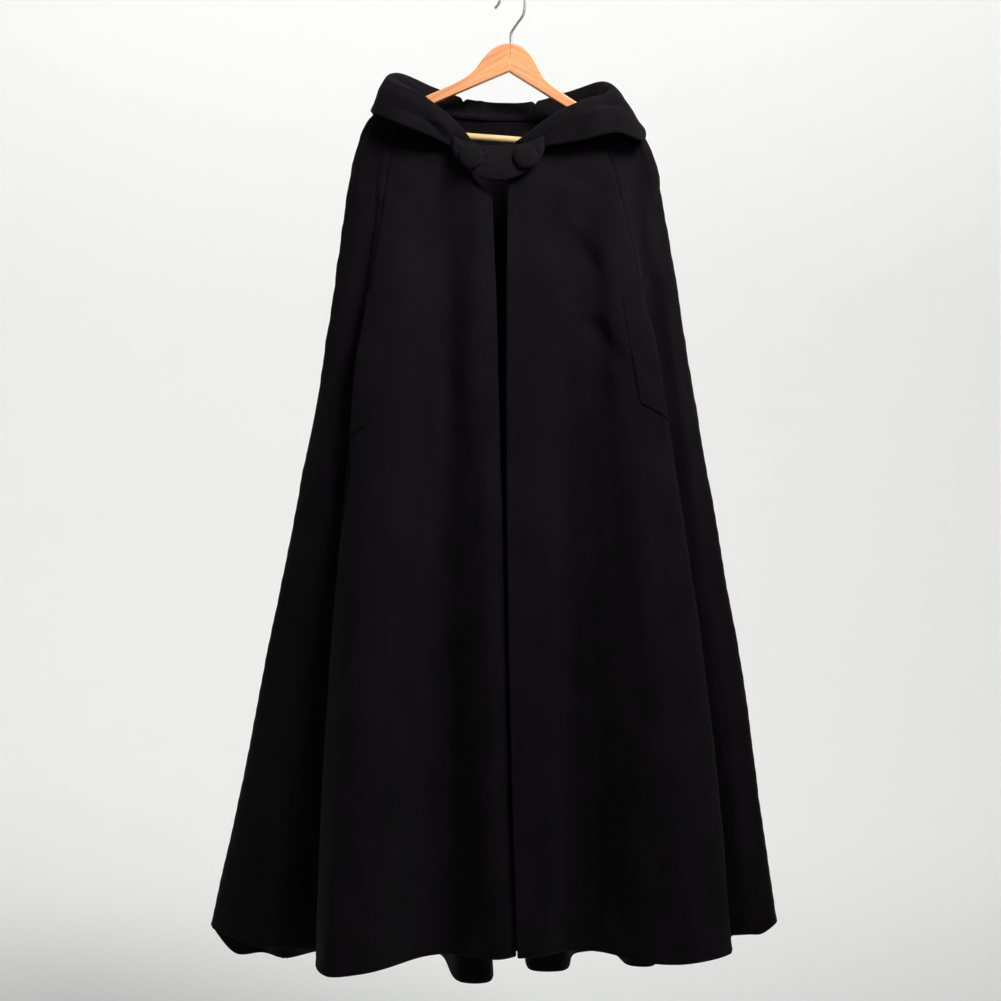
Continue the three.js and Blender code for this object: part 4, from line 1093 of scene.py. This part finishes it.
# %% Wood and wire materials
def wood(name, colours, slope, coat):
    """Varnished wood with its grain along an arm of this slope."""
    material, tree = new_material(name)
    xyz = add(tree, "SeparateXYZ", {"Vector": add(tree, "TexCoord").outputs["Object"]}).outputs
    away = add(tree, "Math", {0: xyz["X"]}, operation="ABSOLUTE").outputs[0]
    across = add(tree, "Math", {0: away, 1: slope, 2: xyz["Z"]}, operation="MULTIPLY_ADD").outputs[0]
    place = add(tree, "CombineXYZ", {"X": xyz["X"], "Y": xyz["Y"], "Z": across}).outputs[0]
    grain = add(tree, "Mapping", {"Vector": place, "Scale": (9, 160, 230)}).outputs[0]
    bands = add(tree, "Mapping", {"Vector": place, "Scale": (5, 26, 60)}).outputs[0]
    fine = add(tree, "TexNoise", {"Vector": grain, "Scale": 3.0, "Detail": 5, "Roughness": 0.62})
    wide = add(tree, "TexNoise", {"Vector": bands, "Scale": 2.0, "Detail": 3, "Distortion": 0.8})
    tone = add(tree, "Math", {0: wide.outputs["Fac"], 1: 0.6}, operation="MULTIPLY")
    tone = add(tree, "Math", {0: fine.outputs["Fac"], 1: 0.4, 2: tone.outputs[0]}, operation="MULTIPLY_ADD")
    colour = add(tree, "ValToRGB", {"Fac": tone.outputs[0]}, colours).outputs[0]
    bump = add(tree, "Bump", {"Height": fine.outputs["Fac"], "Strength": 0.12, "Distance": 0.0004})
    rough = add(tree, "MapRange", {"Value": fine.outputs["Fac"], "To Min": 0.34, "To Max": 0.5})
    surface = add(
        tree,
        "BsdfPrincipled",
        {
            "Base Color": colour,
            "Roughness": rough.outputs[0],
            "Coat Weight": coat,
            "Coat Roughness": 0.22,
            "Normal": bump.outputs[0],
        },
    )
    add(tree, "OutputMaterial", {"Surface": surface.outputs[0]})
    return material


# varnish gives both woods a soft shine; the arms are honey-coloured and the dowel paler
ARM_SLOPE = 0.517
BEECH_TONES = [(0.34, "#C27746"), (0.5, "#DE935E"), (0.66, "#EAA670")]
DOWEL_TONES = [(0.34, "#C39C61"), (0.5, "#DDB87C"), (0.66, "#E8C890")]
beech = wood("beech_sawn_and_varnished", BEECH_TONES, ARM_SLOPE, 0.35)
dowel = wood("pale_dowel_turned_and_varnished", DOWEL_TONES, 0, 0.25)

wire_metal, tree = new_material("steel_wire_bright_plated")
worn = add(tree, "TexNoise", {"Vector": add(tree, "TexCoord").outputs["Object"], "Scale": 420, "Detail": 2})
rough = add(tree, "MapRange", {"Value": worn.outputs["Fac"], "To Min": 0.16, "To Max": 0.34})
# bright plating: a metal shine, a little uneven where it is worn
plating = {"Base Color": linear("#C6C7CA"), "Metallic": 1.0, "Roughness": rough.outputs[0]}
surface = add(tree, "BsdfPrincipled", plating)
add(tree, "OutputMaterial", {"Surface": surface.outputs[0]})

for name, material in (("hanger_arm_right", beech), ("hanger_arm_left", beech), ("trouser_bar", dowel)):
    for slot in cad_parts[name].material_slots:
        slot.material = material
print("hanger wood:", beech.name, dowel.name)

# %% Wire hook
WIRE, LOOP, STEM_IN_WOOD = 1.9, 19.5, 22
LOOP_CENTRE = WIRE - LOOP  # the loop's inside top is the origin
STEM = [(0, 1 - STEM_IN_WOOD), (0, 0), (0.5, 16), (4, 22), (10, 31), (17, 41), (19.5, 50)]
TIP = [(-16.2, -13), (-17, -18), (-23, -26)]

path = [(px, WOOD_TOP + pz) for px, pz in STEM]
for degrees_up in range(0, 201, 20):
    angle = math.radians(degrees_up)
    path.append((LOOP * math.cos(angle), LOOP_CENTRE + LOOP * math.sin(angle)))
path += [(px, LOOP_CENTRE + pz) for px, pz in TIP]
line = np.array([(px, 0, pz) for px, pz in path], float)
line = spline(line, np.linspace(0, 1, 161))

curve = bpy.data.curves.new("hook_wire", "CURVE")
curve.dimensions = "3D"
curve.bevel_depth = WIRE * MM
curve.bevel_resolution = 6
curve.use_fill_caps = True
run = curve.splines.new("POLY")
run.points.add(len(line) - 1)
for point, place in zip(run.points, line):
    point.co = (*(place * MM), 1)
hook = bpy.data.objects.new("hook_wire", curve)
bpy.context.scene.collection.objects.link(hook)
bpy.ops.object.select_all(action="DESELECT")
hook.select_set(True)
bpy.context.view_layer.objects.active = hook
bpy.ops.object.convert(target="MESH")
bpy.ops.object.shade_smooth_by_angle(angle=math.radians(40))
hook = bpy.context.object
hook.data.materials.clear()
hook.data.materials.append(wire_metal)
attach(hook, "root")
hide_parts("hook")
print("hook", len(hook.data.polygons), "faces, end at", np.round(line[-1], 1).tolist())
